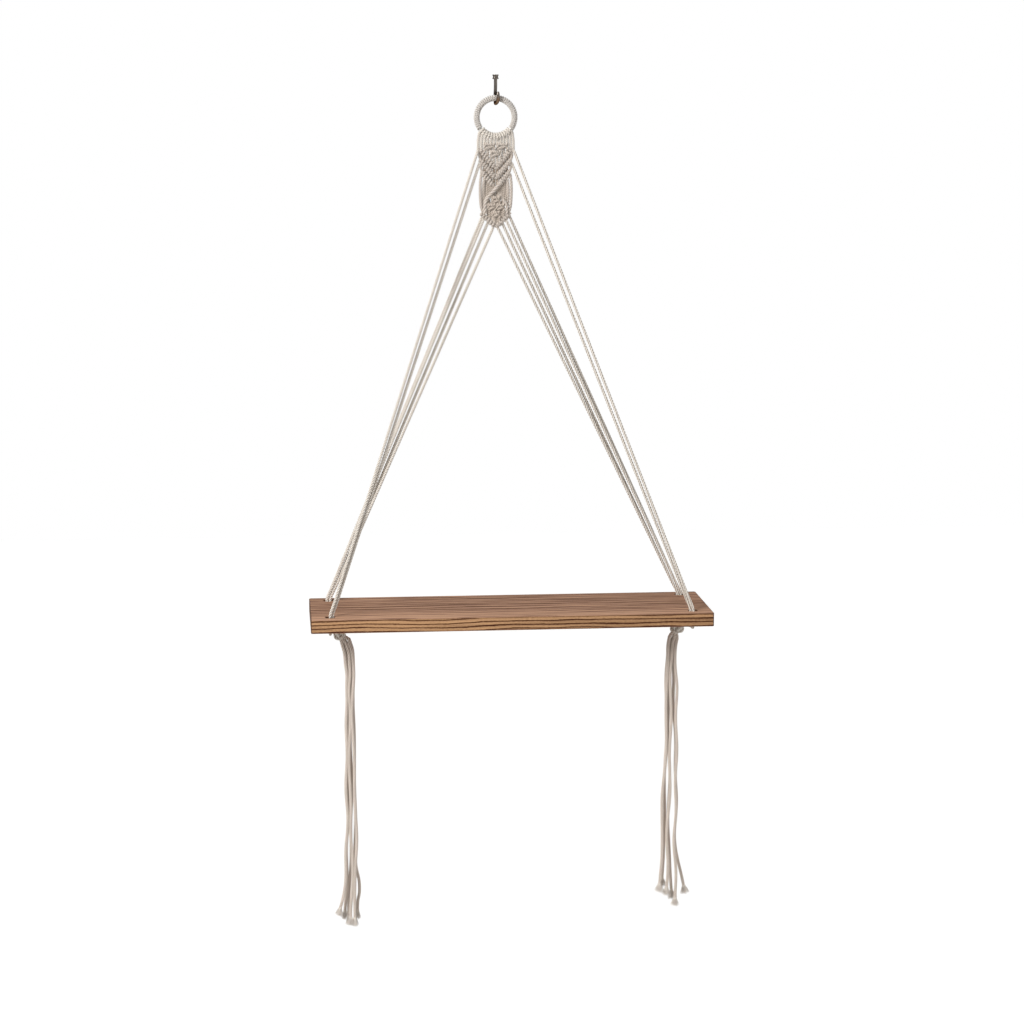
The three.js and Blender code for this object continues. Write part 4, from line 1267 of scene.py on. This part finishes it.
# Each fibre leans outwards with its strand, and turns about itself at random.
lean_place = add_node(
    tree, "ShaderNodeVectorMath", {0: place, "Scale": given["Opening"]}, operation="SCALE"
)
lean_place = add_node(tree, "ShaderNodeVectorMath", {0: lean_place, 1: (0, 0, 1)}, operation="ADD")
lean = add_node(tree, "FunctionNodeAlignRotationToVector", {"Vector": lean_place}, axis="Z")
seed = add_node(tree, "ShaderNodeMath", {0: given["Seed"], 1: 2}, operation="ADD")
own_turn = add_node(tree, "FunctionNodeRandomValue", {2: 0, 3: 2 * math.pi, "Seed": seed}).outputs[1]
own_turn = add_node(tree, "ShaderNodeCombineXYZ", {2: own_turn})
own_turn = add_node(tree, "FunctionNodeEulerToRotation", {0: own_turn})
lean = add_node(tree, "FunctionNodeRotateRotation", {0: lean, 1: own_turn}, rotation_space="LOCAL")
seed = add_node(tree, "ShaderNodeMath", {0: given["Seed"], 1: 3}, operation="ADD")
size = add_node(
    tree, "FunctionNodeRandomValue", {2: fibre_shortest, 3: fibre_length, "Seed": seed}
).outputs[1]
fibres = add_node(
    tree,
    "GeometryNodeInstanceOnPoints",
    {0: starts, "Instance": fibre, "Rotation": lean, "Scale": size},
)
brush = add_node(tree, "GeometryNodeTransform", {0: fibres, "Scale": (METRES, METRES, METRES)})
brush = add_node(
    tree,
    "GeometryNodeTransform",
    {0: brush, "Translation": given["End"], "Rotation": given["Heading"]},
)
end_tree(tree, brush, given["Material"])

# Opened cotton fibre: paler than the cord, as no strand shades another.
open_fibre = cotton("Natural cotton fibre, opened", "#fbf3ea", "#ddcfbf")
# The same cord hanging free: a little warmer, with a darker shade painted between its strands.
free_cotton = cotton("Natural cotton cord, hanging free", "#f0e3d7", "#745c48")
fibre_count = 230
end_overlap = 3.5
loosened_diameter = 3.7
# How far from the knot's middle its outside lies.
knot_radius = 7.55
# The cords stay slightly crimped, in waves that differ from cord to cord.
crimp = 0.75
crimp_length = 62
crimp_growth = 7

# The right tassel's ends have opened wider than the left one's.
for side, word, opening in ((-1, "left", 0.2), (1, "right", 0.32)):
    knot_place = Vector((board_shift + side * knot_x, 0, knot_z))
    body = f"{word}_tassel"
    for index, (leaving, upper, lower) in enumerate(tassel_table[side], start=1):
        layer = -1 if index % 2 else 1
        turn = math.radians(leaving)
        outward = Vector((-side * math.sin(turn), 0, -math.cos(turn)))
        start_back = layer * rope_pitch / 2
        places = [(x, layer_depth, drop) for x, drop in zip(upper, upper_drops[side][index > 4])]
        rest = [Vector((-side * x, layer * y, -drop)) for x, y, drop in (*places, *lower)]
        stations = [
            outward * (knot_radius + reach) + Vector((0, start_back, 0))
            for reach in (-knot_cord * 1.4, -knot_cord / 2, rope_radius / 2)
        ]
        leaving_point = outward * (knot_radius + rope_diameter) + Vector((0, start_back, 0))
        stations.append(leaving_point.lerp(rest[0], 0.12))
        route = smooth_route([knot_place + place for place in (*stations, *rest)], rope_step)
        for step, point in enumerate(route):
            along = step * rope_step / (crimp_length + crimp_growth * index)
            fading = min(1, step * rope_step / crimp_length)
            point.x += crimp * fading * math.sin(2 * math.pi * (along + index * 0.37))
        name = f"tassel_{word}_{index}"
        piece = cord_piece(f"{name}_cord", [route], loosened_diameter, free_cotton)
        placed(piece, "cotton_rope", body, name)
        heading = (route[-1] - route[-5]).normalized()
        sizes = {
            "End": (route[-1] - heading * end_overlap) * METRES,
            "Heading": heading.to_track_quat("Z", "Y").to_euler(),
            "Fibres": fibre_count,
            "Opening": opening,
            "Seed": 10 * index + (side + 1) * 50,
            "Material": open_fibre,
        }
        brush = baked(f"{name}_brush", bpy.data.meshes.new(name), frayed_end, sizes)
        placed(brush, "cotton_rope", body)

# Studio.
# A white room with soft light from the front left and above. The floor lies two metres below
# the hook, as under a shelf on a wall.

floor_drop = 2000
floor_half = 9000
floor_glow = 0.7
floor_mesh = bpy.data.meshes.new("floor")
floor_corners = [
    Vector((x * floor_half, y * floor_half, -floor_drop)) * METRES
    for x, y in ((-1, -1), (1, -1), (1, 1), (-1, 1))
]
floor_mesh.from_pydata(floor_corners, [], [(0, 1, 2, 3)])
floor = bpy.data.objects.new("floor", floor_mesh)
bpy.context.scene.collection.objects.link(floor)
white_floor, shader = new_material("White studio floor", Base_Color=linear("#e9e7e4"), Roughness=0.9)
tree = white_floor.node_tree
seen = add_node(tree, "ShaderNodeLightPath")
shown = add_node(
    tree,
    "ShaderNodeMath",
    {0: seen.outputs["Is Camera Ray"], 1: seen.outputs["Is Glossy Ray"]},
    operation="MAXIMUM",
)
glow = add_node(tree, "ShaderNodeMath", {0: shown, 1: floor_glow}, operation="MULTIPLY")
shader.inputs["Emission Color"].default_value = (1, 1, 1, 1)
tree.links.new(glow.outputs[0], shader.inputs["Emission Strength"])
floor.data.materials.append(white_floor)

world = bpy.data.worlds.new("white_room")
bpy.context.scene.world = world
world.use_nodes = True
tree = world.node_tree
seen = add_node(tree, "ShaderNodeLightPath")
shown = add_node(
    tree,
    "ShaderNodeMath",
    {0: seen.outputs["Is Camera Ray"], 1: seen.outputs["Is Glossy Ray"]},
    operation="MAXIMUM",
)
shown = add_node(
    tree, "ShaderNodeMath", {0: shown, 1: seen.outputs["Is Transmission Ray"]}, operation="MAXIMUM"
)
room_light = 0.36
level = add_node(
    tree, "ShaderNodeMath", {0: shown, 1: 1 - room_light, 2: room_light}, operation="MULTIPLY_ADD"
)
room = tree.nodes["Background"]
room.inputs["Color"].default_value = (1, 1, 1, 1)
tree.links.new(level.outputs[0], room.inputs["Strength"])


def soft_light(name, place, target, size, watts):
    """A square softbox, in millimetres, that faces its target."""
    lamp = bpy.data.lights.new(name, "AREA")
    lamp.size = size * METRES
    lamp.energy = watts
    holder = bpy.data.objects.new(name, lamp)
    holder.location = Vector(place) * METRES
    facing = Vector(target) - Vector(place)
    holder.rotation_euler = facing.to_track_quat("-Z", "Y").to_euler()
    bpy.context.scene.collection.objects.link(holder)


middle = (0, 0, -450)
soft_light("key_softbox", (-1700, -1500, 900), middle, 1100, 62)
soft_light("fill_softbox", (1900, -1700, 100), middle, 1600, 10)

# The photograph's view: a long lens, a little left of the shelf and above its middle.
camera_place = Vector((-231.9, -2622.98, -34))
camera_turn = math.radians(5.42)
camera_dip = math.radians(9.06)
camera = bpy.data.objects.new("photo_camera", bpy.data.cameras.new("photo_camera"))
camera.data.sensor_width = 36
camera.data.lens = 89.05
camera.location = camera_place * METRES
view_line = Vector(
    (
        math.sin(camera_turn) * math.cos(camera_dip),
        math.cos(camera_turn) * math.cos(camera_dip),
        -math.sin(camera_dip),
    )
)
camera.rotation_euler = view_line.to_track_quat("-Z", "Y").to_euler()
bpy.context.scene.collection.objects.link(camera)
bpy.context.scene.camera = camera
bpy.context.scene.view_settings.view_transform = "Standard"
